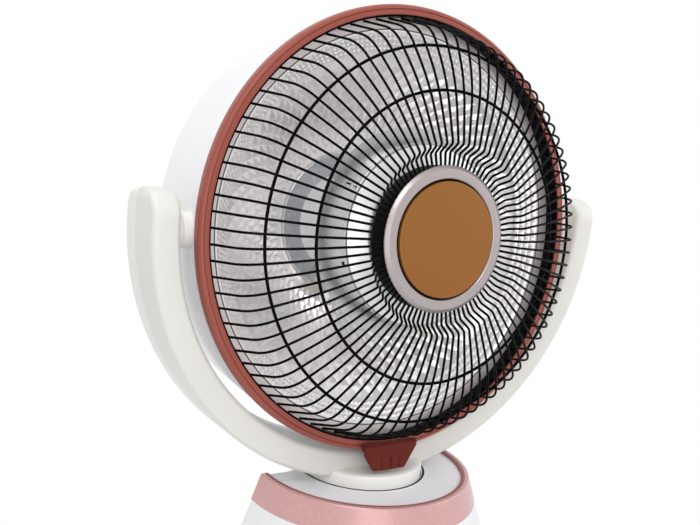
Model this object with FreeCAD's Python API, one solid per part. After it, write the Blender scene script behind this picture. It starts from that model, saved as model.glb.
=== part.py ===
import FreeCAD
import Part
import math
import os

os.makedirs("parts", exist_ok=True)
V = FreeCAD.Vector

# Driving dimensions, mm and degrees.
# The floor is z = 0, the base axis is x = y = 0 and the front is -Y.
ring_radius = 185.0
pivot_height = 390.0
ring_forward = 25.5
head_tilt = 5.0
swing_angle = 32.0
sheet = 0.8
touch = 0.02
running_gap = 0.3
running_fit = 0.06

# Head: front ring, housing and dish, measured back from the front plane of the ring.
ring_lip_radius = ring_radius - 8.5
ring_depth = 9.0
housing_radius = ring_radius - 0.8
housing_wall = 2.4
housing_corner = 28.0
housing_corner_radius = housing_radius - 39.2
housing_corner_depth = 97.0
dish_rim_depth = 14.0
dish_rim_radius = ring_radius - 21.0
dish_floor_radius = 65.0
dish_depth = 92.4
dish_bulge = 4.4

# Guard: round wire on hoops, with a hub in the middle, measured forward of the ring.
wire_count = 88
wire_radius = 1.0
hoop_radius = 1.25
wire_phase = 2.9
hub_radius = 58.4
hub_disc_radius = 46.1
hub_seat = 52.2
disc_rise = 6.5
hub_depth = 16.0
band_wall = 1.5
guard_shoulder = 12.3
guard_shoulder_rise = 31.0
guard_crown_rise = 53.0
guard_crown_in = 41.2
inner_hoop_reach = ring_lip_radius - 59.9
outer_hoop_reach = ring_lip_radius - 24.9

# Front reflector and heating element.
pan_front_radius = 75.3
pan_front = 26.5
pan_rise = 7.0
pan_slope_run = 22.0
pan_rim_radius = 86.9
pan_rim = 2.7
post_radius = 7.0
element_radius = 55.0
element_place = -16.0
quartz_radius = 5.0
quartz_wall = 1.2
filament_radius = 1.5
element_gap_angle = 30.0
element_bend = 10.0
cap_radius = 8.5

# Yoke and swivel.
yoke_half_depth = 26.5
yoke_split = 8.0
yoke_wall = 2.5
yoke_inner = ring_radius + 16.5
yoke_inner_rise = 10.5
yoke_outer = yoke_inner + 19.0
yoke_outer_rise = 8.0
yoke_top = 31.0
yoke_seat = 11.0
boss_face = yoke_inner - 2.7
trunnion_radius = 15.5
bolt_radius = 5.0
foot_radius = 54.0
foot_rise = 10.0
foot_round = 6.0
spindle_radius = 10.0

# Base. The plate lies under the foot, which carries the yoke.
plate_top = pivot_height + yoke_inner_rise - yoke_inner - yoke_seat - foot_rise
rim_rise = 2.0
band_top_radius = 96.5
band_height = 22.0
flare = 0.35
bell_round = 188.0
drum_radius = 135.5
base_wall = 3.0
base_lift = 4.0
rear_edge = 4.0
rear_steep = 86.0
rear_share = 0.5
rear_slope = 12.0
plate_radius = 89.8
plate_thickness = 3.0
socket_gap = 1.2
socket_depth = 10.0
socket_wall = 2.6
floor_thickness = 3.0

# Swing drive and controls.
motor_offset = 42.0
motor_radius = 24.0
motor_height = 22.0
crank_throw = motor_offset * math.sin(math.radians(swing_angle))
control_height = 80.0
control_azimuth = 20.0
knob_radius = 15.5
pad_rise = 2.5


def point(place):
    return V(place[0], 0, place[1])


def face_of(start, *steps):
    """Closed face in the XZ plane: a pair is a line, a pair of pairs an arc."""
    edges = []
    last = start
    for step in steps:
        if isinstance(step[0], tuple):
            edges.append(Part.Arc(point(last), point(step[0]), point(step[1])).toShape())
            last = step[1]
        else:
            edges.append(Part.makeLine(point(last), point(step)))
            last = step
    edges.append(Part.makeLine(point(last), point(start)))
    return Part.Face(Part.Wire(edges))


def turned(start, *steps):
    return face_of(start, *steps).revolve(V(0, 0, 0), V(0, 0, 1), 360)


def rod(radius, start, end):
    run = V(*end) - V(*start)
    return Part.makeCylinder(radius, run.Length, V(*start), run)


def block(low, high):
    size = V(*high) - V(*low)
    return Part.makeBox(size.x, size.y, size.z, V(*low))


def rounded_path(points, radii):
    """Lines through the points with a round bend at each inner point."""
    edges = []
    last = points[0]
    for before, corner, after, radius in zip(points, points[1:], points[2:], radii):
        first = (before - corner).normalize()
        second = (after - corner).normalize()
        half = first.getAngle(second) / 2
        run = radius / math.tan(half)
        middle = corner + (first + second).normalize() * (radius / math.sin(half) - radius)
        edges.append(Part.makeLine(last, corner + first * run))
        edges.append(Part.Arc(corner + first * run, middle, corner + second * run).toShape())
        last = corner + second * run
    edges.append(Part.makeLine(last, points[-1]))
    return Part.Wire(edges)


def swept(radius, points, radii):
    path = rounded_path(points, radii)
    start = (points[1] - points[0]).normalize()
    circle = Part.Wire(Part.makeCircle(radius, points[0], start))
    return path.makePipeShell([circle], True, False)


def spun(shape, angle, axis=(0, 0, 1)):
    moved = shape.copy()
    moved.rotate(V(0, 0, 0), V(*axis), angle)
    return moved


def mirrored(shape):
    return shape.mirror(V(0, 0, 0), V(1, 0, 0))


def head(shape):
    """From the head's own frame (z forward, y up, pivot at its origin) to the part."""
    moved = shape.copy()
    moved.rotate(V(0, 0, 0), V(1, 0, 0), 90 - head_tilt)
    moved.translate(V(0, 0, pivot_height))
    return moved


def ahead(distance):
    return ring_forward + distance


def save(name, *shapes):
    solids = [solid for shape in shapes for solid in shape.Solids]
    if len(solids) == 1:
        solids[0].exportStep("parts/" + name + ".step")
    else:
        Part.makeCompound(solids).exportStep("parts/" + name + ".step")


# Rear housing: a deep white bowl, open in front, with a ledge for the dish.
def bowl(inset, front):
    slope = math.atan((housing_radius - housing_corner_radius - housing_corner)
                      / (housing_corner_depth - ring_depth))
    radius = housing_corner - inset

    def on_corner(angle):
        across = housing_corner_radius + radius * math.cos(angle)
        return (across, ahead(-housing_corner_depth) - radius * math.sin(angle))

    back = ahead(-housing_corner_depth) - radius
    return turned((0, front), (housing_radius - inset, front), on_corner(slope),
                  (on_corner((slope + math.pi / 2) / 2), on_corner(math.pi / 2)), (0, back))


housing_front = ahead(-ring_depth)
housing_body = bowl(0, housing_front)
dish_back = ahead(-dish_rim_depth) - sheet
ledge = turned((housing_radius - 8.2, dish_back), (housing_radius - 1.6, dish_back),
               (housing_radius - 1.6, dish_back - 3.2), (housing_radius - 8.2, dish_back - 3.2))
rear_housing = housing_body.cut(bowl(housing_wall, housing_front + 1)).fuse(ledge)
housing_back = ahead(-housing_corner_depth) - housing_corner
vent = block((58, -2, housing_back - 1), (112, 2, housing_back + housing_wall + 1))
for index in range(16):
    rear_housing = rear_housing.cut(spun(vent, 360 / 16 * (index + 0.5)))

# Trunnions: round stubs that carry the head in the yoke arms.
washer_face = boss_face - running_gap
trunnion_face = washer_face - 1.0
trunnion = rod(trunnion_radius, (housing_radius - 20, 0, 0), (trunnion_face, 0, 0))
trunnion = trunnion.cut(housing_body)
bolt_seat = boss_face + 5.2
bolt_tip = trunnion_face - 13
trunnion = trunnion.cut(rod(bolt_radius, (bolt_tip, 0, 0), (trunnion_face + 1, 0, 0)))
bolt = rod(bolt_radius, (bolt_tip, 0, 0), (bolt_seat + running_gap, 0, 0))
bolt_top = bolt_seat + running_gap
bolt_head = rod(9.0, (bolt_top, 0, 0), (bolt_top + 4, 0, 0))
hex_socket = Part.Face(Part.makePolygon([
    V(bolt_top + 1.5, 3 * math.cos(math.radians(60 * k)), 3 * math.sin(math.radians(60 * k)))
    for k in range(7)])).extrude(V(5, 0, 0))
bolt = bolt.fuse(bolt_head).cut(hex_socket)
washer = rod(trunnion_radius - 2, (trunnion_face, 0, 0), (washer_face, 0, 0))
washer = washer.cut(rod(bolt_radius, (trunnion_face - 1, 0, 0), (washer_face + 1, 0, 0)))
side_screws = []
for up in (-10, 10):
    shank = rod(2.0, (housing_radius - 8, up, 0), (trunnion_face - 3, up, 0))
    screw_head = rod(4.0, (housing_radius - 10, up, 0), (housing_radius - 6.2, up, 0))
    trunnion = trunnion.cut(shank)
    rear_housing = rear_housing.cut(shank).cut(mirrored(shank))
    side_screws.append(shank.fuse(screw_head).cut(rear_housing))
save("rear_housing", head(rear_housing))
save("left_trunnion", head(mirrored(trunnion)))
save("right_trunnion", head(trunnion))
save("trunnion_screws", *[head(s) for s in side_screws], *[head(mirrored(s)) for s in side_screws])
save("friction_washers", head(washer), head(mirrored(washer)))
save("pivot_bolts", head(bolt), head(mirrored(bolt)))

# Front ring: a coloured bezel with a fine groove, carrying the lug of the latch.
pin_drop = ring_lip_radius + 4.0
pin_out = ahead(5.0)
latch_place = -5.0
lug_half = 6.0
front_ring = turned((ring_lip_radius, ahead(0)), (ring_lip_radius + 4, ahead(-0.3)),
                    (ring_lip_radius + 4.4, ahead(-0.9)), (ring_lip_radius + 5, ahead(-0.5)),
                    ((ring_radius - 0.9, ahead(-1.5)), (ring_radius, ahead(-3.8))),
                    (ring_radius, housing_front), (ring_lip_radius, housing_front))
lug = block((-lug_half, -pin_drop - 2.6, ahead(-2)), (lug_half, -pin_drop + 2.6, pin_out))
lug = lug.fuse(rod(2.6, (-lug_half, -pin_drop, pin_out), (lug_half, -pin_drop, pin_out)))
pin_half = 17.0
pin = rod(1.25, (-pin_half, -pin_drop, pin_out), (pin_half, -pin_drop, pin_out))
lug.translate(V(latch_place, 0, 0))
pin.translate(V(latch_place, 0, 0))
front_ring = front_ring.fuse(lug).cut(pin)
save("front_ring", head(front_ring))
save("latch_pin", head(pin))

# Guard latch: a tapered thumb clip that turns on the pin at the foot of the ring.
latch_barrel = 4.3
latch_top_half = 28.0
latch_foot_half = 17.0
latch_foot = 19.8
latch_front = pin_out + 5.2
latch_back = pin_out - latch_barrel
latch_outline = Part.makePolygon([
    V(-latch_top_half, -pin_drop, latch_back), V(latch_top_half, -pin_drop, latch_back),
    V(latch_foot_half, -pin_drop - latch_foot, latch_back),
    V(-latch_foot_half, -pin_drop - latch_foot, latch_back),
    V(-latch_top_half, -pin_drop, latch_back)])
latch = Part.Face(latch_outline).extrude(V(0, 0, latch_front - latch_back))
latch = latch.fuse(rod(latch_barrel, (-latch_top_half, -pin_drop, pin_out),
                       (latch_top_half, -pin_drop, pin_out)))
pocket = block((-lug_half - 0.6, -pin_drop - 6, latch_back - 1),
               (lug_half + 0.6, -pin_drop + 6, pin_out + 3.2))
bore = rod(1.25 + running_fit, (-pin_half - 0.5, -pin_drop, pin_out),
           (pin_half + 0.5, -pin_drop, pin_out))
latch = latch.cut(pocket).cut(bore)
for across in (-6, 0, 6):
    groove = block((across - 0.5, -pin_drop - latch_foot - 1, latch_front - 1),
                   (across + 0.5, -pin_drop - latch_foot + 9, latch_front + 1))
    latch = latch.cut(groove)
latch.translate(V(latch_place, 0, 0))
save("guard_latch", head(latch))

# Reflector dish: spun sheet, flat floor, slightly bulged flank and a flat rim on the housing ledge.
loop_ends = []
cap_spots = []
for side in (-1, 1):
    lean = math.radians(-90 + side * element_gap_angle)
    loop_end = V(element_radius * math.cos(lean), element_radius * math.sin(lean), ahead(element_place))
    inward = V(math.sin(lean), -math.cos(lean), 0) * side
    loop_ends.append((loop_end, inward))
    cap_spots.append((loop_end.x + inward.x * element_bend, loop_end.y + inward.y * element_bend))


def on_flank(share, inset):
    """Point on the arc from floor to rim, which hangs behind its chord by the bulge."""
    rise = dish_depth - dish_rim_depth
    run = dish_rim_radius - dish_floor_radius
    chord = math.hypot(run, rise)
    radius = (chord * chord / 4 + dish_bulge * dish_bulge) / (2 * dish_bulge)
    half_turn = math.asin(chord / 2 / radius)
    lean = math.atan2(rise, run) + half_turn * (2 * share - 1)
    centre_across = dish_floor_radius + run / 2 - rise / chord * (radius - dish_bulge)
    centre_ahead = ahead(-dish_depth) + rise / 2 + run / chord * (radius - dish_bulge)
    return (centre_across + (radius + inset) * math.sin(lean), centre_ahead - (radius + inset) * math.cos(lean))


rim_front = ahead(-dish_rim_depth)
rim_outer = housing_radius - 3.4
dish_floor = ahead(-dish_depth)
reflector_dish = turned((0, dish_floor), (dish_floor_radius, dish_floor),
                        (on_flank(0.5, 0), on_flank(1, 0)), (rim_outer, rim_front),
                        (rim_outer, dish_back), (on_flank(1, sheet)[0], dish_back),
                        (on_flank(0.97, sheet)),
                        (on_flank(0.5, sheet), (dish_floor_radius, dish_floor - sheet)),
                        (0, dish_floor - sheet))
for across, up in cap_spots:
    reflector_dish = reflector_dish.cut(rod(cap_radius, (across, up, dish_floor - 20),
                                            (across, up, dish_floor + 30)))
post_spigot = 4.0
reflector_dish = reflector_dish.cut(rod(post_spigot, (0, 0, dish_floor - 5), (0, 0, dish_floor + 5)))
save("reflector_dish", head(reflector_dish))

# Front reflector: a shallow polished pan on a post, open towards the dish, its face raised in the middle.
pan_top = ahead(pan_front + pan_rise)
pan_back = pan_top - sheet
pan_middle = pan_front_radius - pan_slope_run
front_reflector = turned((0, pan_top), (pan_middle, pan_top), (pan_front_radius, ahead(pan_front)),
                         (pan_rim_radius, ahead(pan_rim)), (pan_rim_radius - sheet, ahead(pan_rim)),
                         (pan_front_radius - sheet, ahead(pan_front) - sheet), (pan_middle, pan_back), (0, pan_back))
front_reflector = front_reflector.cut(rod(3.0, (0, 0, pan_back - 1), (0, 0, pan_top + 1)))
save("front_reflector", head(front_reflector))
post = turned((3.0, pan_back), (post_radius, pan_back), (post_radius, dish_floor + 3),
              (16, dish_floor + 3), (16, dish_floor), (post_spigot, dish_floor),
              (post_spigot, dish_floor - 6), (0, dish_floor - 6), (0, pan_back - 16),
              (3.0, pan_back - 16))
save("reflector_post", head(post))
post_screw = turned((0, pan_top + 2.4), (4, pan_top + 2.4), (5.5, pan_top), (3.0, pan_top),
                    (3.0, pan_back - 14), (0, pan_back - 14))
save("post_screw", head(post_screw))

# Heating element: a quartz loop with a carbon filament, both ends in ceramic caps.
element_face = ahead(element_place)
cap_front = dish_floor + 12.0
cap_back = dish_floor - 12.0
tube_end = dish_floor - 6.0


def element(radius, end):
    """Round section along one leg, the loop and the other leg."""
    down = V(0, 0, -1)
    elbows = []
    legs = []
    for (loop_end, inward), (across, up) in zip(loop_ends, cap_spots):
        centre = loop_end + down * element_bend
        middle = centre + (inward - down).normalize() * element_bend
        leg_top = centre + inward * element_bend
        elbows.append(Part.Arc(leg_top, middle, loop_end).toShape())
        legs.append(Part.makeLine(V(across, up, end), leg_top))
    top = V(0, element_radius, element_face)
    loop = Part.Arc(loop_ends[0][0], top, loop_ends[1][0]).toShape()
    path = Part.Wire(Part.__sortEdges__([legs[0], elbows[0], loop, elbows[1], legs[1]]))
    circle = Part.Wire(Part.makeCircle(radius, V(*cap_spots[0], end), V(0, 0, 1)))
    return path.makePipeShell([circle], True, False)


quartz_bore = element(quartz_radius - quartz_wall, tube_end - 1)
quartz_tube = element(quartz_radius, tube_end).cut(quartz_bore)
filament = element(filament_radius, cap_back)
save("quartz_tube", head(quartz_tube))
save("carbon_filament", head(filament))
caps = []
for across, up in cap_spots:
    cap = rod(cap_radius, (across, up, cap_back), (across, up, cap_front))
    cap = cap.cut(rod(quartz_radius, (across, up, tube_end), (across, up, cap_front + 1)))
    cap = cap.cut(rod(filament_radius, (across, up, cap_back - 1), (across, up, tube_end + 1)))
    caps.append(cap)
save("tube_end_caps", *[head(cap) for cap in caps])

# Thermal cut-out and terminal block behind the dish, with the two heater leads.
cutout_spot = (24.0, 22.0)
cutout = rod(8.0, (cutout_spot[0], cutout_spot[1], dish_floor - sheet - 5),
             (cutout_spot[0], cutout_spot[1], dish_floor - sheet))
for side in (-1, 1):
    across = cutout_spot[0] + side * 4
    cutout = cutout.fuse(block((across - 2, cutout_spot[1] - 0.4, dish_floor - sheet - 11),
                               (across + 2, cutout_spot[1] + 0.4, dish_floor - sheet - 4)))
save("thermal_cutout", head(cutout))
terminal_floor = housing_back + housing_wall
terminal = block((-16, 40, terminal_floor), (16, 56, terminal_floor + 12))
for across in (-8, 8):
    terminal = terminal.cut(rod(2.4, (across, 48, terminal_floor + 5), (across, 48, terminal_floor + 13)))
save("head_terminal", head(terminal))
lead_layer = terminal_floor + 6.0
leads = []
for (across, up), side in zip(cap_spots, (-1, 1)):
    leads.append(swept(1.4, [V(across, up, cap_back), V(across, up, lead_layer),
                             V(side * 8, 12, lead_layer), V(side * 8, 40, lead_layer)], [4, 4]))
save("head_leads", *[head(lead) for lead in leads])

# Guard: radial wires from the hub over a dome and down a skirt into the hoop of flat strip.
strip_inner = ring_lip_radius - band_wall
wire_end = V(strip_inner - wire_radius - 0.06, 0, ahead(-8))
wire_seat = ahead(hub_seat) + wire_radius
dome_start = V(hub_radius + 17.1, 0, ahead(hub_seat + 10.1))
dome_end = V(ring_lip_radius - guard_shoulder, 0, ahead(guard_shoulder_rise))
dome_top = V(dome_end.x - guard_crown_in, 0, ahead(guard_crown_rise))
wire_points = [V(hub_radius - 9.4, 0, wire_seat), V(hub_radius + 10.2, 0, wire_seat),
               dome_start, dome_top, dome_end, wire_end]
wire_bends = [3.5, 3.5, 150.0, 8.0]
wire = swept(wire_radius, wire_points, wire_bends)
wires = [spun(wire, 360 / wire_count * index + wire_phase) for index in range(wire_count)]
save("guard_wires", *[head(one) for one in wires])


def hoop(reach):
    """Round hoop lying against the inner side of the wires at a given reach."""
    path = rounded_path(wire_points, wire_bends)

    def height_at(across):
        line = Part.makeLine(V(across, 0, ahead(-60)), V(across, 0, ahead(90)))
        return path.distToShape(line)[1][0][0]

    run = (height_at(reach + 0.5) - height_at(reach - 0.5)).normalize()
    spot = height_at(reach) + V(run.z, 0, -run.x) * (wire_radius + hoop_radius + touch)
    return Part.makeTorus(spot.x, hoop_radius, V(0, 0, spot.z), V(0, 0, 1))


save("guard_inner_hoop", head(hoop(inner_hoop_reach)))
save("guard_outer_hoop", head(hoop(outer_hoop_reach)))
strip = turned((strip_inner, ahead(-1)), (ring_lip_radius, ahead(-1)),
               (ring_lip_radius, rim_front), (strip_inner, rim_front))
save("guard_band", head(strip))

# Hub: black pan under the wire ends, bright ring on top and a plain bronze disc.
pan_seat = ahead(hub_seat)
hub_pan = turned((0, pan_seat), (hub_radius - 0.6, pan_seat), (hub_radius - 0.6, pan_seat - hub_depth),
                 (hub_radius - 2.8, pan_seat - hub_depth), (hub_radius - 2.8, pan_seat - 2.2),
                 (0, pan_seat - 2.2))
ring_seat = wire_seat + wire_radius + touch
hub_ring = turned((hub_disc_radius + 1.4, ring_seat), (hub_radius, ring_seat),
                  (hub_radius, ring_seat + 1.2), (hub_radius - 1.6, ring_seat + 2.6),
                  (hub_disc_radius + 2.2, ring_seat + 3.4), (hub_disc_radius + 1.4, ring_seat + 3.0))
disc_face = pan_seat + disc_rise
hub_disc = turned((0, disc_face + 0.8), ((hub_disc_radius * 0.55, disc_face + 0.5),
                                         (hub_disc_radius - 0.8, disc_face)),
                  (hub_disc_radius, disc_face - 0.8), (hub_disc_radius, ring_seat),
                  (40, ring_seat), (40, pan_seat), (0, pan_seat))
ring_clip = turned((hub_disc_radius, ring_seat), (hub_disc_radius + 1.4, ring_seat),
                   (hub_disc_radius + 1.4, ring_seat + 1.0), (hub_disc_radius, ring_seat + 1.0))
hub_ring = hub_ring.fuse(ring_clip)
hub_screws = []
for index in range(3):
    angle = math.radians(120 * index + 90)
    across, up = 30 * math.cos(angle), 30 * math.sin(angle)
    shank = rod(1.5, (across, up, pan_seat - 2.2), (across, up, pan_seat + 3.5))
    hub_pan = hub_pan.cut(shank)
    hub_disc = hub_disc.cut(shank)
    hub_screws.append(shank.fuse(rod(3.0, (across, up, pan_seat - 4.2), (across, up, pan_seat - 2.2))))
save("hub_pan", head(hub_pan))
save("hub_ring", head(hub_ring))
save("hub_disc", head(hub_disc))
save("hub_screws", *[head(screw) for screw in hub_screws])


# Yoke: a deep U of two moulded shells on a round swivel foot.
def yoke_body(inset, half_depth):
    outer = yoke_outer - inset
    inner = yoke_inner + inset
    top = pivot_height + yoke_top - inset
    outer_level = pivot_height + yoke_outer_rise
    inner_level = pivot_height + yoke_inner_rise
    face = face_of((outer, top), (outer, outer_level),
                   ((0, outer_level - outer), (-outer, outer_level)), (-outer, top),
                   (-inner, top), (-inner, inner_level),
                   ((0, inner_level - inner), (inner, inner_level)), (inner, top))
    face.translate(V(0, -half_depth, 0))
    return face.extrude(V(0, 2 * half_depth, 0))


def arm_tops(body):
    return [edge for edge in body.Edges
            if abs(edge.BoundBox.ZMin - edge.BoundBox.ZMax) < 1e-6 and edge.BoundBox.YLength < 1e-6
            and edge.BoundBox.ZMin > pivot_height + yoke_top - 1]


def long_edges(body):
    return [edge for edge in body.Edges
            if edge.BoundBox.YLength < 1e-6 and abs(abs(edge.BoundBox.YMin) - yoke_half_depth) < 1e-6]


yoke = yoke_body(0, yoke_half_depth)
yoke = yoke.makeFillet(18.0, arm_tops(yoke))
yoke = yoke.makeFillet(4.0, long_edges(yoke))
for side in (-1, 1):
    yoke = yoke.fuse(rod(trunnion_radius + 1, (side * boss_face, 0, pivot_height),
                         (side * bolt_seat, 0, pivot_height)))
hollow = yoke_body(yoke_wall, yoke_half_depth - yoke_wall)
hollow = hollow.makeFillet(15.0, [edge for edge in hollow.Edges
                                  if edge.BoundBox.YLength < 1e-6 and edge.BoundBox.ZLength < 1e-6
                                  and edge.BoundBox.ZMin > pivot_height + yoke_top - yoke_wall - 1])
for side in (-1, 1):
    hollow = hollow.cut(rod(trunnion_radius + 1, (side * boss_face, 0, pivot_height),
                            (side * bolt_seat, 0, pivot_height)))
foot_base = plate_top - socket_depth + running_gap
foot_top = plate_top + foot_rise
foot_solid = turned((0, foot_base), (foot_radius, foot_base), (foot_radius, foot_top - foot_round),
                    ((foot_radius - foot_round * (1 - math.sqrt(0.5)),
                      foot_top - foot_round * (1 - math.sqrt(0.5))),
                     (foot_radius - foot_round, foot_top)), (0, foot_top))
shells = yoke.cut(hollow).cut(foot_solid)
below = block((-foot_radius - 2, -foot_radius, 0), (foot_radius + 2, foot_radius, foot_base + 12))
shells = shells.cut(below)
for side in (-1, 1):
    shells = shells.cut(rod(bolt_radius + running_fit, (side * (boss_face - 1), 0, pivot_height),
                            (side * (bolt_seat + 1), 0, pivot_height)))
yoke_clear = yoke_outer + 10
yoke_high = pivot_height + yoke_top + 10
front_half = block((-yoke_clear, -yoke_half_depth - 10, 0), (yoke_clear, yoke_split, yoke_high))
rear_half = block((-yoke_clear, yoke_split, 0), (yoke_clear, yoke_half_depth + 10, yoke_high))
yoke_front = shells.common(front_half)
yoke_rear = shells.common(rear_half)
mid_radius = (yoke_inner + yoke_outer) / 2
mid_level = pivot_height + (yoke_inner_rise + yoke_outer_rise) / 2
inside = yoke_half_depth - yoke_wall
yoke_screws = []
for angle in (-12, -38, -58, -122, -142, -168):
    across = mid_radius * math.cos(math.radians(angle))
    up = mid_level + mid_radius * math.sin(math.radians(angle))
    stud = rod(4.0, (across, -inside, up), (across, inside, up))
    shank = rod(1.5, (across, inside - 18, up), (across, inside + 1, up))
    cap = rod(3.2, (across, inside + 1, up), (across, yoke_half_depth, up))
    yoke_front = yoke_front.fuse(stud).cut(shank)
    yoke_rear = yoke_rear.cut(shank).cut(cap)
    yoke_screws.append(shank.fuse(cap))
foot_studs = []
for side in (-1, 1):
    across = side * 30.0
    under = pivot_height + yoke_inner_rise - math.sqrt(yoke_inner ** 2 - across ** 2)
    stud = rod(4.5, (across, 0, foot_top), (across, 0, under - yoke_wall / 2))
    shank = rod(2.0, (across, 0, foot_top - 4), (across, 0, under - yoke_wall - 1))
    yoke_front = yoke_front.fuse(stud).cut(shank)
    foot_studs.append(shank)
save("yoke_front", yoke_front)
save("yoke_rear", yoke_rear)
save("yoke_screws", *yoke_screws)

# Swivel foot with its spindle, clip and slotted lever.
foot = foot_solid.cut(turned((0, foot_base - 1), (foot_radius - 3, foot_base - 1),
                             (foot_radius - 3, foot_top - 8), (foot_radius - 7, foot_top - 4),
                             (0, foot_top - 4)))
foot = foot.cut(rod(7.0, (0, 0, foot_top - 6), (0, 0, foot_top + 1)))
foot_screws = []
for shank in foot_studs:
    foot = foot.cut(shank)
    centre = shank.CenterOfMass
    cap = rod(4.0, (centre.x, 0, foot_top - 7), (centre.x, 0, foot_top - 4))
    foot_screws.append(shank.fuse(cap))
save("swivel_foot", foot)
save("foot_screws", *foot_screws)
floor_under = plate_top - socket_depth - floor_thickness
motor_base = floor_under - motor_height
crank_top = motor_base - 4.4
lever_top = crank_top - 4.0 - 2.0 - running_gap
spindle = turned((7, foot_top - 4), (18, foot_top - 4), (18, foot_top - 7), (spindle_radius, foot_top - 7),
                 (spindle_radius, lever_top - 5), (7, lever_top - 5))
save("swivel_spindle", spindle)
clip_top = floor_under - running_gap
clip = turned((spindle_radius, clip_top), (15, clip_top), (15, clip_top - 2),
              (spindle_radius, clip_top - 2))
save("spindle_clip", clip)
lever_reach = motor_offset + crank_throw + 8
lever = block((-7, -lever_reach, lever_top - 3), (7, 0, lever_top))
lever = lever.fuse(rod(15.0, (0, 0, lever_top - 3), (0, 0, lever_top)))
slot_start = motor_offset - crank_throw - 3.5
lever = lever.cut(block((-2.8, 4 - lever_reach, lever_top - 4), (2.8, -slot_start, lever_top + 1)))
lever = lever.cut(rod(spindle_radius, (0, 0, lever_top - 4), (0, 0, lever_top + 1)))
save("swing_lever", lever)


# Base: a flared white bell, cut down behind to a low deck, with a coloured band round the front.
def flank(level, inset=0.0):
    return band_top_radius + flare * (plate_top + rim_rise - level) - inset * math.hypot(1, flare)


lean = math.atan(flare)
band_bottom = plate_top + rim_rise - band_height
corner_level = plate_top + rim_rise - (drum_radius - band_top_radius) / flare
turn_run = min(bell_round * math.tan(lean / 2), corner_level - base_lift - 8,
               (band_bottom - 2 - corner_level) / math.cos(lean))
bell_radius = turn_run / math.tan(lean / 2)
bell_centre = (drum_radius - bell_radius, corner_level - turn_run)


def on_bell(angle, inset=0.0):
    return (bell_centre[0] + (bell_radius - inset) * math.cos(angle),
            bell_centre[1] + (bell_radius - inset) * math.sin(angle))


def wall_at(level):
    """Outer radius of the base at a height."""
    if level >= on_bell(lean)[1]:
        return flank(level)
    if level <= bell_centre[1]:
        return drum_radius
    return bell_centre[0] + math.sqrt(bell_radius ** 2 - (level - bell_centre[1]) ** 2)


def bell(inset, low, high):
    return turned((0, low), (drum_radius - inset, low), on_bell(0, inset),
                  (on_bell(lean / 2, inset), on_bell(lean, inset)), (flank(high, inset), high), (0, high))


# The rear wall falls steeply from behind the plate to a deck, which slopes down to the back.
steep_run = 1 / math.tan(math.radians(rear_steep))
deck_fall = math.tan(math.radians(rear_slope))
wall_across = base_wall * math.hypot(1, steep_run)
deck_across = base_wall * math.hypot(1, deck_fall)
deck_level = plate_top * rear_share
deck_start = rear_edge + wall_across + (plate_top - deck_level) * steep_run


def deck_at(along):
    return deck_level - (along - deck_start) * deck_fall


def behind(walls):
    """Everything behind the rear wall and above the deck, let in by a number of walls."""
    top = rear_edge + wall_across * (1 - walls)
    sunk = walls * (deck_across - wall_across * deck_fall)
    foot_level = deck_level - sunk / (1 - steep_run * deck_fall)
    foot_along = top + (plate_top - foot_level) * steep_run
    end_level = deck_at(base_clear) - deck_across * walls
    wedge = Part.Face(Part.makePolygon([
        V(-base_clear, top, high), V(-base_clear, top, plate_top), V(-base_clear, foot_along, foot_level),
        V(-base_clear, base_clear, end_level), V(-base_clear, base_clear, high),
        V(-base_clear, top, high)]))
    return wedge.extrude(V(2 * base_clear, 0, 0))


base_clear = drum_radius + 60
high = plate_top + 60
front_space = block((-base_clear, -base_clear, 0), (base_clear, rear_edge, high))
rear_space = block((-base_clear, rear_edge, 0), (base_clear, base_clear, high))
rim_under = plate_top - 1.0
base_outer = bell(0, base_lift, plate_top).cut(behind(0))
base_inner = bell(base_wall, base_lift - 1, plate_top + 1).cut(behind(1))
base_shell = base_outer.cut(base_inner)
upper = block((-base_clear, -base_clear, band_bottom), (base_clear, rear_edge, high))
base_shell = base_shell.cut(upper)
collar_low = band_bottom - 10
collar = turned((flank(collar_low, base_wall / 2), collar_low),
                (flank(band_bottom, base_wall / 2), band_bottom),
                (flank(band_bottom, base_wall), band_bottom), (flank(rim_under, base_wall), rim_under),
                (flank(rim_under, 2 * base_wall), rim_under),
                (flank(collar_low, 2 * base_wall), collar_low))
plate_under = plate_top - plate_thickness
ledge_reach = flank(plate_under, 1.5 * base_wall)
ledge_ring = turned((plate_radius - 4, plate_under), (ledge_reach, plate_under),
                    (ledge_reach, plate_under - 3), (plate_radius - 4, plate_under - 3))
collar_lap = 1.0
collar_space = block((-base_clear, -base_clear, 0), (base_clear, rear_edge + collar_lap, high))
base_shell = base_shell.fuse(collar.fuse(ledge_ring).common(collar_space))
socket_inner = foot_radius + socket_gap
socket_outer = socket_inner + socket_wall
turret_radius = socket_outer + 3
turret_low = deck_at(turret_radius) - 2 * base_wall
turret = rod(turret_radius, (0, 0, turret_low), (0, 0, plate_top))
base_shell = base_shell.fuse(turret.common(rear_space))
base_shell = base_shell.cut(rod(socket_outer, (0, 0, turret_low - 1), (0, 0, plate_top + 1)))

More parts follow.
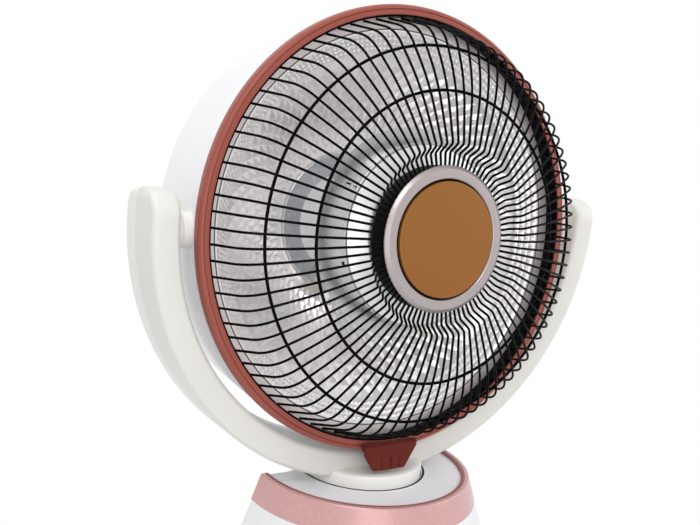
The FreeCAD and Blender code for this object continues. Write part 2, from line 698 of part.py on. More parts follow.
# Round pads for the two knobs and the button, and posts for the bottom screws.
hub_hole = 5.0
button_radius = 7.0
control_wall = wall_at(control_height)
pad_face = control_wall + pad_rise
mid_wall = bell(base_wall / 2, base_lift - 1, plate_top + 1)
for azimuth, radius, hole in ((-control_azimuth, knob_radius + 3.5, hub_hole),
                              (control_azimuth, knob_radius + 3.5, hub_hole),
                              (0, button_radius + 4, button_radius + running_fit)):
    pad = rod(radius, (0, -control_wall + 12, control_height), (0, -pad_face, control_height))
    base_shell = base_shell.fuse(spun(pad, azimuth).cut(mid_wall))
    drill = rod(hole, (0, -control_wall + 20, control_height), (0, -pad_face - 1, control_height))
    base_shell = base_shell.cut(spun(drill, azimuth))
lens_radius = 3.5
lens_height = control_height + 25
lens_wall = wall_at(lens_height)
lens = rod(lens_radius, (0, -lens_wall + 4.6, lens_height), (0, -lens_wall - 2.2, lens_height))
base_shell = base_shell.cut(rod(lens_radius, (0, -lens_wall + 20, lens_height),
                                (0, -lens_wall - 5, lens_height)))
gland_height = 28.0
gland_reach = 6.0
base_shell = base_shell.cut(rod(7.0, (0, drum_radius - 15, gland_height),
                                (0, drum_radius + 5, gland_height)))
bottom_thickness = 3.0
bottom_top = base_lift + bottom_thickness
post_ring = drum_radius - base_wall - 5
base_screws = []
screw_holes = []
for index in range(6):
    angle = math.radians(60 * index)
    across, along = post_ring * math.cos(angle), post_ring * math.sin(angle)
    post_body = rod(6.5, (across, along, bottom_top), (across, along, 46))
    shank = rod(2.0, (across, along, base_lift + 2), (across, along, 24))
    cap = rod(4.0, (across, along, base_lift), (across, along, base_lift + 2))
    base_shell = base_shell.fuse(post_body.common(bell(1, 0, plate_top))).cut(shank)
    base_screws.append(shank.fuse(cap))
    screw_holes.append(shank.fuse(cap))
save("base_shell", base_shell)
save("base_screws", *base_screws)
save("pilot_lens", lens)

# Band, top plate with the swivel socket, and bottom plate on rubber feet.
rim_top = plate_top + rim_rise
band = turned((flank(band_bottom), band_bottom), (flank(rim_top - 1.4), rim_top - 1.4),
              (band_top_radius - 0.9, rim_top), (plate_radius, rim_top), (plate_radius, rim_under),
              (flank(rim_under, base_wall), rim_under), (flank(band_bottom, base_wall), band_bottom))
save("base_band", band.common(front_space))
top_plate = rod(plate_radius, (0, 0, plate_under), (0, 0, plate_top)).common(front_space)
socket_floor = plate_top - socket_depth
top_plate = top_plate.fuse(rod(socket_outer, (0, 0, floor_under), (0, 0, plate_top)))
top_plate = top_plate.cut(rod(socket_inner, (0, 0, socket_floor), (0, 0, plate_top + 1)))
top_plate = top_plate.cut(rod(spindle_radius + running_fit, (0, 0, floor_under - 1), (0, 0, plate_top)))
save("top_plate", top_plate)
tip_spot = (-50.0, -60.0)
plunger_radius = 3.0
bottom_plate = rod(drum_radius - base_wall, (0, 0, base_lift), (0, 0, bottom_top))
for hole in screw_holes:
    bottom_plate = bottom_plate.cut(hole)
bottom_plate = bottom_plate.cut(rod(plunger_radius + running_gap, (tip_spot[0], tip_spot[1], 0),
                                    (tip_spot[0], tip_spot[1], 20)))
feet = []
foot_ring = drum_radius - 23.5
for index in range(4):
    angle = math.radians(90 * index + 45)
    across, along = foot_ring * math.cos(angle), foot_ring * math.sin(angle)
    stem = rod(3.0, (across, along, base_lift), (across, along, bottom_top))
    feet.append(rod(10.0, (across, along, 0), (across, along, base_lift)).fuse(stem))
    bottom_plate = bottom_plate.cut(stem)
ballast_screws = []
ballast_outer = drum_radius - 35.5
ballast_inner = 45.0
ballast_top = bottom_top + 8
ballast = rod(ballast_outer, (0, 0, bottom_top), (0, 0, ballast_top))
ballast = ballast.cut(rod(ballast_inner, (0, 0, 0), (0, 0, ballast_top + 1)))
ballast = ballast.common(block((-base_clear, -20, 0), (base_clear, base_clear, high)))
ballast_middle = (ballast_outer + ballast_inner) / 2
for angle in (10, 90, 170):
    across = ballast_middle * math.cos(math.radians(angle))
    along = ballast_middle * math.sin(math.radians(angle))
    shank = rod(2.5, (across, along, base_lift + 0.5), (across, along, ballast_top))
    bottom_plate = bottom_plate.cut(shank)
    ballast = ballast.cut(shank)
    ballast_head = rod(5.0, (across, along, ballast_top), (across, along, ballast_top + 3))
    ballast_screws.append(shank.fuse(ballast_head))
save("bottom_plate", bottom_plate)
save("rubber_feet", *feet)
save("ballast", ballast)
save("ballast_screws", *ballast_screws)

# Swing motor under the socket floor and its crank.
shaft_radius = 3.0
motor = rod(motor_radius, (0, -motor_offset, motor_base), (0, -motor_offset, floor_under))
motor = motor.fuse(rod(8.0, (0, -motor_offset, motor_base - 3), (0, -motor_offset, motor_base)))
motor = motor.cut(rod(shaft_radius + running_fit, (0, -motor_offset, motor_base - 4),
                      (0, -motor_offset, motor_base + 12)))
save("swing_motor", motor)
crank = rod(shaft_radius, (0, -motor_offset, crank_top), (0, -motor_offset, motor_base + 11))
crank = crank.fuse(rod(6.0, (0, -motor_offset, crank_top - 4), (0, -motor_offset, crank_top)))
crank = crank.fuse(block((0, -motor_offset - 4, crank_top - 4),
                         (crank_throw, -motor_offset + 4, crank_top)))
crank = crank.fuse(rod(4.0, (crank_throw, -motor_offset, crank_top - 4),
                       (crank_throw, -motor_offset, crank_top)))
crank = crank.fuse(rod(2.5, (crank_throw, -motor_offset, lever_top + running_gap),
                       (crank_throw, -motor_offset, crank_top - 2)))
save("swing_crank", crank)

# Controls: two knobs with their switch bodies, one push button, all on the front of the drum.
knob_back = pad_face + 0.8
knob_face = knob_back + 16
switch_face = control_wall - 0.5
shaft_end = control_wall - 18.5
knob = rod(knob_radius, (0, -knob_back, control_height), (0, -knob_back - 5, control_height))
knob = knob.fuse(rod(knob_radius - 2, (0, -knob_back - 4, control_height),
                     (0, -knob_back - 7, control_height)))
knob = knob.fuse(block((-4, -knob_face, control_height - knob_radius + 2.5),
                       (4, -knob_back - 6, control_height + knob_radius - 2.5)))
knob = knob.fuse(rod(shaft_radius, (0, -shaft_end, control_height), (0, -knob_back - 1, control_height)))
knob = knob.cut(block((-0.7, -knob_face - 1, control_height + 5),
                      (0.7, -knob_face + 0.6, control_height + knob_radius)))


def switch_body(half_width, half_height, depth):
    body = block((-half_width, -switch_face, control_height - half_height),
                 (half_width, -switch_face + depth, control_height + half_height))
    body = body.common(base_inner)
    body = body.fuse(rod(hub_hole, (0, -pad_face, control_height), (0, -switch_face + 8, control_height)))
    return body.cut(rod(shaft_radius + running_fit, (0, -pad_face - 1, control_height),
                        (0, -shaft_end + 1, control_height)))


save("heat_switch", spun(switch_body(13, 14, 22), -control_azimuth))
save("timer_unit", spun(switch_body(17, 18, 30), control_azimuth))
save("heat_knob", spun(knob, -control_azimuth))
save("timer_knob", spun(knob, control_azimuth))
button_back = control_wall - 11.5
button = rod(button_radius, (0, -button_back, control_height), (0, -pad_face - 3, control_height))
save("swing_button", button)
swing_switch = block((-10, -switch_face, control_height - 9), (10, -button_back + 14, control_height + 9))
swing_switch = swing_switch.common(base_inner)
swing_switch = swing_switch.cut(rod(button_radius + running_fit, (0, -pad_face, control_height),
                                    (0, -button_back + 3.6, control_height)))
save("swing_switch", swing_switch)

# Tip-over switch with its plunger through the bottom plate, cord gland, terminals and leads.
# The gland stands out as far behind as the knobs do in front, so the box stays centred.
tip_x, tip_y = tip_spot
tip_switch = block((tip_x - 12, tip_y - 9, bottom_top), (tip_x + 12, tip_y + 9, bottom_top + 32))
tip_switch = tip_switch.cut(rod(plunger_radius + running_gap, (tip_x, tip_y, bottom_top - 1),
                                (tip_x, tip_y, bottom_top + 16)))
save("tip_switch", tip_switch)
plunger = rod(plunger_radius, (tip_x, tip_y, 1.0), (tip_x, tip_y, bottom_top + 12))
plunger = plunger.fuse(rod(6.5, (tip_x, tip_y, 0.5), (tip_x, tip_y, 2.5)))
save("tip_plunger", plunger)
gland_end = max(-spun(knob, control_azimuth).BoundBox.YMin, drum_radius + gland_reach)
gland = rod(10.0, (0, drum_radius, gland_height), (0, drum_radius + 3, gland_height))
gland = gland.cut(bell(0, 0, plate_top))
gland = gland.fuse(rod(7.0, (0, drum_radius - 11, gland_height), (0, gland_end, gland_height)))
nut = rod(11.0, (0, drum_radius - 9, gland_height), (0, drum_radius - 2, gland_height))
gland = gland.fuse(nut.common(bell(base_wall, 0, plate_top)))
gland = gland.cut(rod(3.5, (0, drum_radius - 20, gland_height), (0, gland_end + 1, gland_height)))
save("cord_gland", gland)
terminals = block((30, -69, bottom_top), (72, -51, bottom_top + 16))
for index in range(3):
    across = 38 + 13 * index
    terminals = terminals.cut(rod(3.0, (across, -60, bottom_top + 8), (across, -60, bottom_top + 17)))
save("terminal_block", terminals)
terminal_top = bottom_top + 8.0
lead_height = gland_height + 2
supply = swept(3.0, [V(0, drum_radius - 11, gland_height), V(0, drum_radius - 39.5, gland_height),
                     V(40, 60, lead_height), V(51, -30, lead_height), V(51, -60, lead_height),
                     V(51, -60, terminal_top)], [10, 16, 12, 8])
save("base_leads", supply)
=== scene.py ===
import bmesh
import bpy
import numpy as np
from mathutils import Matrix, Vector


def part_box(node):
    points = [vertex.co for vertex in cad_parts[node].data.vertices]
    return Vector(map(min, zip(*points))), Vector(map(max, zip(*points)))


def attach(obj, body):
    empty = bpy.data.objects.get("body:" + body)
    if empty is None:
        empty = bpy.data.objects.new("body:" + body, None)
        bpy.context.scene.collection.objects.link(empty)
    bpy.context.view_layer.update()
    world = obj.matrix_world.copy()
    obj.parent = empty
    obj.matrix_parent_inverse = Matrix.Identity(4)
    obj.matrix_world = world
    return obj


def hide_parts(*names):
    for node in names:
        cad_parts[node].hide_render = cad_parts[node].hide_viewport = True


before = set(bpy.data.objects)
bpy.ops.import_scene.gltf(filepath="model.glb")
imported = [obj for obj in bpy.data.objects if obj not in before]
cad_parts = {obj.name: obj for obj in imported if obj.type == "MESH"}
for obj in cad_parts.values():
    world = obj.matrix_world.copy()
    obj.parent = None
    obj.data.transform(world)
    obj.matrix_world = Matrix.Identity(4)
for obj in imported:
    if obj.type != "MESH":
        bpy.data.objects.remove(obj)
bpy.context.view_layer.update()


# Bottom plate: a black moulded disc that closes the base from below.
# Its screws are zinc plated steel and an iron half ring on it keeps the heater from tipping.
def linear(colour):
    """sRGB hex digits to the linear colour that shaders take."""
    share = np.array([int(colour[place:place + 2], 16) for place in (1, 3, 5)]) / 255
    curve = np.where(share <= 0.04045, share / 12.92, ((share + 0.055) / 1.055) ** 2.4)
    return (*curve.tolist(), 1.0)


def add(tree, kind, options={}, values={}, links={}):
    """Adds one shader node with its options, its fixed inputs and the sockets that feed it."""
    made = tree.nodes.new(kind)
    for name, value in options.items():
        setattr(made, name, value)
    for socket, value in values.items():
        made.inputs[socket].default_value = value
    for socket, source in links.items():
        tree.links.new(source, made.inputs[socket])
    return made


def finish(name, **sockets):
    """A new material whose Principled shader takes the values given for its sockets."""
    made = bpy.data.materials.new(name)
    made.use_nodes = True
    shader = made.node_tree.nodes["Principled BSDF"]
    for socket, value in sockets.items():
        shader.inputs[socket.replace("_", " ").title().replace("Ior", "IOR")].default_value = value
    return made, made.node_tree, shader


def cloudy(tree, width, detail):
    """Noise in soft clouds, each about a width in millimetres across."""
    place = add(tree, "ShaderNodeTexCoord").outputs["Object"]
    return add(tree, "ShaderNodeTexNoise", values={"Scale": 1000 / width, "Detail": detail},
               links={"Vector": place}).outputs["Fac"]


def tinted(tree, pale, deep, noise):
    """Colour that goes from pale to deep as a noise goes from 0 to 1."""
    return add(tree, "ShaderNodeMix", {"data_type": "RGBA"}, {6: linear(pale), 7: linear(deep)},
               {0: noise}).outputs[2]


def ranged(tree, noise, ends, low, high):
    """Value that goes from low to high as a noise goes from its first to its second end."""
    return add(tree, "ShaderNodeMapRange", values={1: ends[0], 2: ends[1], 3: low, 4: high},
               links={0: noise}).outputs[0]


def moulded(name, pale, deep, roughness, ripple=3.0, depth=0.02, **sockets):
    """Injection moulded plastic. Its colour drifts a little over 60 mm, its gloss over 25 mm,
    and its skin has a shallow ripple of a few millimetres, drawn coarser than the real peel
    of about 0.5 mm so that it shows."""
    made, tree, shader = finish(name, **sockets)
    tint = tinted(tree, pale, deep, cloudy(tree, 60, 2))
    rough = ranged(tree, cloudy(tree, 25, 3), (0.25, 0.75), roughness - 0.03, roughness + 0.05)
    bump = add(tree, "ShaderNodeBump", values={"Strength": 0.15, "Distance": depth / 1000},
               links={"Height": cloudy(tree, ripple, 1)})
    tree.links.new(tint, shader.inputs["Base Color"])
    tree.links.new(rough, shader.inputs["Roughness"])
    tree.links.new(bump.outputs[0], shader.inputs["Normal"])
    return made


def plated(name, pale, deep, roughness, grain=2.0, metallic=1.0, smoother=0.08, rougher=0.08):
    """Bright metal with a faint cloud of a few millimetres in its colour and gloss, as zinc
    plating and machined steel have."""
    made, tree, shader = finish(name, metallic=metallic)
    cloud = cloudy(tree, grain, 4)
    rough = ranged(tree, cloud, (0.3, 0.7), roughness - smoother, roughness + rougher)
    tree.links.new(tinted(tree, pale, deep, cloud), shader.inputs["Base Color"])
    tree.links.new(rough, shader.inputs["Roughness"])
    return made


def dress(material, *nodes):
    """Puts a material on CAD nodes that keep their own shape."""
    for name in nodes:
        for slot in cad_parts[name].material_slots:
            slot.material = material


black_abs = moulded("black_abs_moulded", "#171718", "#101011", 0.5, specular_ior_level=0.3)
zinc_steel = plated("zinc_plated_steel", "#C4C5C4", "#A9ABAA", 0.32)
cast_iron = plated("cast_iron_raw", "#56524F", "#3D3A38", 0.62, 1.5)
dress(black_abs, "bottom_plate", "tip_switch", "heat_switch", "timer_unit", "swing_switch")
dress(zinc_steel, "base_screws", "ballast_screws")
dress(cast_iron, "ballast")


# Rubber feet: four soft black pads, each with a stem pressed into the bottom plate.
# They are moulded with a rounded edge and a dull skin.
def bridged(start, corner, end, t):
    """Parabola from a start to an end, drawn towards a corner:
    (1-t)^2 start + 2t(1-t) corner + t^2 end."""
    return (1 - t) ** 2 * start + 2 * t * (1 - t) * corner + t ** 2 * end


def softened(corners, radii, closed=True, steps=6):
    """Outline with round corners. Each corner is cut back along both its sides by its radius
    times the tangent of half its turn, and the cut is bridged by a parabola."""
    widest_turn = 2.6
    most_cut = 0.49
    corner = np.array(corners, float)
    before = np.roll(corner, 1, 0) - corner
    after = np.roll(corner, -1, 0) - corner
    long_before = np.linalg.norm(before, axis=1, keepdims=True)
    long_after = np.linalg.norm(after, axis=1, keepdims=True)
    before = before / long_before
    after = after / long_after
    turn = np.pi - np.arccos(np.clip((before * after).sum(1, keepdims=True), -1, 1))
    radius = np.broadcast_to(np.array(radii, float), len(corner))[:, None]
    cut = radius * np.tan(np.minimum(turn, widest_turn) / 2)
    cut = np.minimum(cut, most_cut * np.minimum(long_before, long_after))
    if not closed:
        cut[[0, -1]] = 0
    t = np.linspace(0, 1, steps)[None, :, None]
    start = (corner + before * cut)[:, None]
    end = (corner + after * cut)[:, None]
    curve = bridged(start, corner[:, None], end, t)
    if closed:
        outline = curve.reshape(-1, 2)
        return np.vstack([outline, outline[:1]])
    return np.vstack([corner[:1], curve[1:-1].reshape(-1, 2), corner[-1:]])


def joined(*parts):
    """Points of two or three coordinates, each spread over the whole grid."""
    return np.stack(np.broadcast_arrays(*parts), -1)


def upright(angle, radius, level):
    """Points at an angle, a radius and a height: x = radius cos(angle), y = radius sin(angle)."""
    return joined(radius * np.cos(angle), radius * np.sin(angle), level)


def turned(outline, count=192, start=0.0, end=360.0):
    """Outline of radius and height carried round the upright axis."""
    radius, height = np.array(outline, float).T[:, :, None]
    return upright(np.radians(np.linspace(start, end, count + 1)), radius, height)


def lathe(corners, radii, count=192, seat=0.0):
    """Outline with round corners, its heights counted from a seat, carried round the axis."""
    return turned(softened(corners, radii) + np.array([0.0, seat]), count)


def meshed(name, material, grids, sheet=False, crease=38.0):
    """One mesh of several grids of points in millimetres. Each grid gives a face between every
    four neighbours, or where its mask says so. Doubles are merged, which closes seams and poles,
    and closed forms get outward faces. A sheet keeps the side that its rows and columns give."""
    merge_reach = 2e-6
    points = []
    faces = []
    start = 0
    for grid in grids:
        grid, keep = grid if isinstance(grid, tuple) else (grid, None)
        rows, columns = grid.shape[:2]
        number = np.arange(rows * columns).reshape(rows, columns) + start
        quads = np.stack([number[:-1, :-1], number[1:, :-1], number[1:, 1:], number[:-1, 1:]], -1)
        faces.append(quads.reshape(-1, 4) if keep is None else quads[keep])
        points.append(grid.reshape(-1, 3))
        start += rows * columns
    mesh = bpy.data.meshes.new(name)
    mesh.from_pydata((np.concatenate(points) / 1000).tolist(), [], np.concatenate(faces).tolist())
    work = bmesh.new()
    work.from_mesh(mesh)
    bmesh.ops.remove_doubles(work, verts=work.verts, dist=merge_reach)
    loose = [vert for vert in work.verts if not vert.link_faces]
    bmesh.ops.delete(work, geom=loose, context="VERTS")
    if not sheet:
        bmesh.ops.recalc_face_normals(work, faces=work.faces)
    work.to_mesh(mesh)
    work.free()
    mesh.polygons.foreach_set("use_smooth", np.ones(len(mesh.polygons), bool))
    mesh.set_sharp_from_angle(angle=np.radians(crease))
    mesh.materials.append(material)
    made = bpy.data.objects.new(name, mesh)
    bpy.context.scene.collection.objects.link(made)
    return made


def piece(name, body, slot, material, *grids, **options):
    """A mesh of grids that rides on a body. The slot that its material belongs to is not used."""
    made = meshed(name, material, grids, **options)
    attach(made, body)
    return made


foot_lift = 4.0
foot_spread = 112.0
foot_pad = lathe([(0, 0), (9.0, 0), (10.0, 1.2), (10.0, foot_lift), (0, foot_lift)],
                 [0, 0.8, 0.8, 0.2, 0], 48)
foot_spots = upright(np.radians(45 + 90 * np.arange(4)), foot_spread, 0.0)
rubber = moulded("black_rubber", "#242424", "#1A1A1A", 0.75, 1.5, 0.03)
feet = piece("rubber_foot_pads", "base", "rubber_feet", rubber,
             *(foot_pad + spot for spot in foot_spots))
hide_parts("rubber_feet")

# Base shell: a white ABS moulding, a drum that flares into a cone in front and is cut down to a
# low deck behind. A half turret on the deck stands round the socket of the swivel.
plate_top = 178.0
rim_top = 180.0
rim_radius = 96.5
flare = 0.35
bell_round = 188.0
drum_radius = 135.5
band_bottom = 158.0
band_wall = 3.0
band_gap = 0.2
shell_wall = 3.0
shell_round = 6.0
rear_edge = 4.0
rear_steep = np.radians(86)
deck_level = 89.0
deck_slope = np.radians(12)
deck_end_about = 64.0
turret_radius = 60.8
turret_foot = 62.0
turret_start = 4.2
socket_wall_radius = 57.8
notch_margin = 3.8
notch_level = 120.0
lean = np.arctan(flare)
bell_low = rim_top - (drum_radius - rim_radius) / flare - bell_round * np.tan(lean / 2)


def wall_at(level):
    """Radius of the base at a height: a drum, then an arc of the bell's radius, then a cone."""
    arc = np.sqrt(np.maximum(bell_round ** 2 - (level - bell_low) ** 2, 0))
    cone = rim_radius + flare * (rim_top - level)
    bell_high = bell_low + bell_round * np.sin(lean)
    bell = np.where(level < bell_high, arc + drum_radius - bell_round, cone)
    return np.where(level < bell_low, drum_radius, bell)


def divided(line, step):
    """Line of points with more points on its long runs, none further apart than about a step."""
    reach = np.r_[0.0, np.cumsum(np.linalg.norm(np.diff(line, axis=0), axis=1))]
    along = np.unique(np.r_[reach, np.arange(0, reach[-1], step)].round(4))
    return joined(np.interp(along, reach, line[:, 0]), np.interp(along, reach, line[:, 1]))


def front_sweep(turn, steps):
    """Angles round the front, from a turn behind one side to the same turn behind the other."""
    return np.pi - turn + (np.pi + 2 * turn) * np.linspace(0, 1, steps + 1)[None, :]


def cut_round(radius, back, level, corner_round, arc_steps=150, corner_steps=8, line_steps=41):
    """Level outline of the base, row by row: a circle cut off by a straight line behind, at
    y = back. The corners between them are bridged by parabolas."""
    half = np.sqrt(np.maximum(radius ** 2 - back ** 2, 0))[:, None]
    radius = radius[:, None]
    back = back[:, None]
    soft = np.minimum(corner_round, 0.45 * half)
    angle = front_sweep(np.arcsin(np.clip(back / radius, -1, 1)) - soft / radius, arc_steps)
    arc = joined(radius * np.cos(angle), radius * np.sin(angle))
    t = np.linspace(0, 1, corner_steps + 1)[None, 1:, None]
    right = bridged(arc[:, -1:], joined(half, back), joined(half - soft, back), t)
    chord = joined((half - soft) * np.linspace(1, -1, line_steps + 1)[None, 1:], back)
    left = right[:, ::-1] * np.array([-1.0, 1.0])
    loop = np.concatenate([arc, right, chord, left[:, 1:], arc[:, :1]], 1)
    return joined(loop[..., 0], loop[..., 1], level[:, None])


def oblong(inner, outer, low, high):
    """Corners of a rectangle between two radii and two heights."""
    return [(inner, low), (outer, low), (outer, high), (inner, high)]


def closed_ends(grid):
    """A grid whose rows are closed outlines, with its first and last row drawn in to a point."""
    middles = np.repeat(grid[[0, -1]].mean(1, keepdims=True), grid.shape[1], 1)
    return np.concatenate([middles[:1], grid, middles[1:]])


def walled(sheet, wall):
    """Gives a sheet a wall of a thickness behind the side that it shows."""
    made = sheet.modifiers.new("wall", "SOLIDIFY")
    made.thickness = wall / 1000
    made.offset = -1


wall_behind = rear_edge + shell_wall / np.sin(rear_steep)
deck_start = wall_behind + (plate_top - deck_level) / np.tan(rear_steep)
deck_end = deck_level - (wall_at(deck_end_about) - deck_start) * np.tan(deck_slope)
rear_corners = [(wall_at(deck_end), foot_lift), (wall_at(deck_end), deck_end),
                (deck_start, deck_level), (wall_behind, plate_top)]
rear_line = divided(softened(rear_corners, [0, 5.0, 6.0, 0], False, 12), 3.0)
top_inset = np.array([0.0, 0.3, 0.8, 3.0])
top_drop = np.array([0.8, 0.2, 0.0, 0.0])
shell_back = np.r_[rear_line[:, 0], wall_behind - top_inset]
shell_level = np.r_[rear_line[:, 1], plate_top - top_drop]
shell_inset = np.where(shell_level > band_bottom, band_wall + band_gap, 0.0)
shell_inset[-len(top_inset):] += top_inset
shell_inset += 0.6 * (shell_level < foot_lift + 0.3)
shell_radius = wall_at(shell_level) - shell_inset
shell_back = np.minimum(shell_back, shell_radius - 0.001)
shell_grid = cut_round(shell_radius, shell_back, shell_level, shell_round)
# Inside the socket the rear wall is notched, clear of the foot that turns there.
in_socket = np.hypot(shell_grid[..., 0], shell_grid[..., 1]) < socket_wall_radius - notch_margin
shell_grid[in_socket, 2] = np.minimum(shell_grid[in_socket, 2], notch_level)
turret_outline = softened(oblong(socket_wall_radius, turret_radius, turret_foot, plate_top),
                          [0, 0, 1.0, 0.4])
turret_grid = turned(turret_outline, 128, turret_start, 180 - turret_start).swapaxes(0, 1)
white_abs = moulded("white_abs_moulded", "#F0F0F2", "#EAEAED", 0.28)
base_shell = piece("base_moulding", "base", "white_plastic", white_abs, shell_grid[::-1],
                   sheet=True)
walled(base_shell, shell_wall)
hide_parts("base_shell")
piece("base_turret", "base", "white_plastic", white_abs, closed_ends(turret_grid))

# Control pads: three round pads that the base moulding carries for the knobs and the button.
# They are part of the white moulding, with a rounded edge.
control_height = 80.0
control_turn = np.radians(20)
pad_face = float(wall_at(control_height)) + 2.5
pad_depth = 12.0
knob_pad_radius = 19.0
button_pad_radius = 11.0


def placed(points, origin, axis, side=(0, 0, 1)):
    """Points whose own z lies along an axis and whose own y leans to a side, moved to an origin."""
    ahead = np.array(axis, float) / np.linalg.norm(axis)
    across = np.cross(side, ahead)
    across = across / np.linalg.norm(across)
    return points @ np.array([across, np.cross(ahead, across), ahead]) + np.array(origin, float)


def at_control(points, turn, height=control_height):
    """From a control's own frame, z outwards from the axis of the base, to the part."""
    return placed(points, (0, 0, height), (np.sin(turn), -np.cos(turn), 0.0))


def control_pad(radius, count):
    """Round pad with a softened edge, turned, with its foot sunk into the wall of the base."""
    return lathe(oblong(0, radius, -pad_depth, 0), [0, 0, 1.2, 0], count, pad_face)


knob_pad = control_pad(knob_pad_radius, 96)
piece("control_pads", "base", "white_plastic", white_abs,
      at_control(knob_pad, -control_turn), at_control(knob_pad, control_turn),
      at_control(control_pad(button_pad_radius, 64), 0))

# Base band: a rose half ring with a pearl lacquer, clipped over the collar of the base moulding.
# Its rounded rim stands 2 mm above the white plate, with a lip inside it coloured dark brown as
# painted shade, which draws a dark line round the plate.
band_inner = 89.8
band_low_radius = rim_radius + flare * (rim_top - band_bottom)
rim_edge = 0.8
band_outline = softened([
    (band_low_radius, band_bottom), (rim_radius + flare * rim_edge, rim_top - rim_edge),
    (rim_radius - 0.6, rim_top + 0.2), (band_inner, rim_top), (band_inner, plate_top - 1),
    (rim_radius - 4, plate_top - 1), (band_low_radius - band_wall - 0.1, band_bottom)],
    [0.8, 1.6, 1.2, 0.5, 0, 0, 0])
lip_inner = band_inner - 0.05
lip_outer = rim_radius - 3.4
lip_outline = softened([(lip_inner, plate_top - 0.5), (lip_inner, rim_top + 0.1),
                        (lip_outer, rim_top + 0.3), (lip_outer, rim_top - 1.0)], [0, 0.3, 0.3, 0])


def round_front(outline, back, steps=160):
    """Outline of radius and height carried round the front, from the line y = back on one side
    to the same line on the other, with its ends closed."""
    radius, level = np.array(outline, float).T[:, :, None]
    angle = front_sweep(np.arcsin(back / radius), steps)
    return closed_ends(upright(angle, radius, level).swapaxes(0, 1))


def pearl(name, pale, deep, flake):
    """Pearl lacquer on ABS: fine flakes of mica, drawn about 0.7 mm wide so that they show,
    lighten the colour in specks under a clear gloss coat. The colour drifts over 45 mm."""
    made, tree, shader = finish(name, roughness=0.34, metallic=0.25, coat_weight=0.35,
                                coat_roughness=0.12)
    place = add(tree, "ShaderNodeTexCoord").outputs["Object"]
    speck = add(tree, "ShaderNodeTexVoronoi", values={"Scale": 1000 / 0.7}, links={"Vector": place})
    grain = add(tree, "ShaderNodeSeparateColor", links={0: speck.outputs["Color"]})
    share = ranged(tree, grain.outputs[0], (0.0, 1.0), 0.0, 0.22)
    lit = add(tree, "ShaderNodeMix", {"data_type": "RGBA"}, {7: linear(flake)},
              {0: share, 6: tinted(tree, pale, deep, cloudy(tree, 45, 2))})
    tree.links.new(lit.outputs[2], shader.inputs["Base Color"])
    return made


rose_pearl = pearl("rose_pearl_lacquer", "#CE9C9C", "#C58F8F", "#EBD2D0")
# The lip's dark brown is painted shade of the rim on the white plate.
lip_shade_abs = moulded("lip_painted_shade_abs", "#A0645B", "#955A52", 0.5)
base_band = piece("rose_band", "base", "rose_plastic", rose_pearl,
                  round_front(band_outline, wall_behind - 0.4))
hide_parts("base_band")
piece("band_lip", "base", "rose_plastic", lip_shade_abs, round_front(lip_outline, wall_behind - 0.6))

# Top plate: a white half disc, sunk behind the rim of the band, with the round socket
# in which the foot of the yoke turns. It is screwed down from inside.
plate_radius = 89.7
plate_under = plate_top - 3
spindle_hole = 10.1
socket_radius = 54.7
socket_floor = 168.0
socket_under = socket_floor - 3
socket_outer = socket_wall_radius - 0.1
plate_outline = softened(oblong(socket_radius, plate_radius, plate_under, plate_top),
                         [0, 0, 0, 0.8])
socket = lathe([(spindle_hole, socket_under), (spindle_hole, socket_floor),
                (socket_radius, socket_floor), (socket_radius, plate_top),
                (socket_outer, plate_top), (socket_outer, socket_under)],
               [0, 0, 0.5, 0.8, 0.3, 0], 160)
# Whiter than the base moulding: painted light against the shade that the head throws on the plate.
plate_lit_abs = moulded("pale_abs_painted_light", "#F5F5F9", "#EEEEF3", 0.24)
top_plate = piece("socket_plate", "base", "white_plastic", plate_lit_abs, socket,
                  round_front(plate_outline, rear_edge - 0.1))
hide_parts("top_plate")

# Knobs: two round white knobs with a grip bar and a dark pointer line, pushed on their spindles.
# The button between them is a plain domed cap.
knob_radius = 15.5
knob_back = pad_face + 0.8
knob_face = knob_back + 16.0
knob_skirt = lathe([(0, 0), (knob_radius, 0), (knob_radius - 0.4, 5), (knob_radius - 2, 7.2),
                    (0, 7.8)], [0, 0.6, 1.6, 1.6, 0], 96, knob_back)


def grip(half_width, half_length, low, high, turns=48, levels=9):
    """Rounded bar: a stadium outline drawn in towards its top by a quarter ellipse."""
    edge_round = 1.6
    bluntness = 0.55
    angle = np.linspace(0, 2 * np.pi, turns + 1)
    rise = np.linspace(0, np.pi / 2, levels)[:, None]
    inset = edge_round * (1 - np.cos(rise)) ** 2
    wave = np.stack([np.cos(angle), np.sin(angle)])
    across, along = np.sign(wave) * np.abs(wave) ** bluntness
    body = joined((half_width - inset) * across, (half_length - inset) * along,
                  low + (high - low) * np.sin(rise))
    return np.concatenate([body, body[-1:] * np.array([0, 0, 1])])


knob_grip = grip(4.0, knob_radius - 2.5, knob_back + 6, knob_face)
pointer = grip(0.7, 3.6, knob_face - 1.0, knob_face + 0.15, 24, 5) + np.array([0, 7.4, 0])
knob_abs = moulded("white_knob_abs", "#ECECEC", "#E4E4E5", 0.3)
pointer_ink = moulded("grey_pointer_ink", "#55504E", "#4A4644", 0.5)
for name, turn in (("heat", -control_turn), ("timer", control_turn)):
    knob = piece(name + "_knob_cap", name + "_control", "control_plastic", knob_abs,
                 at_control(knob_skirt, turn), at_control(knob_grip, turn))
    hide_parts(name + "_knob")
    piece(name + "_knob_pointer", name + "_control", "control_plastic", pointer_ink,
          at_control(pointer, turn))
button_radius = 7.0
button_stem = -14.0
button_cap = lathe([(0, button_stem), (button_radius, button_stem), (button_radius, 2.4),
                    (button_radius - 1.6, 3), (0, 3.3)], [0, 0, 0.8, 1.5, 0], 64, pad_face)
button = piece("swing_button_cap", "swing_control", "control_plastic", knob_abs,
               at_control(button_cap, 0))
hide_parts("swing_button")
dress(knob_abs, "tip_plunger")

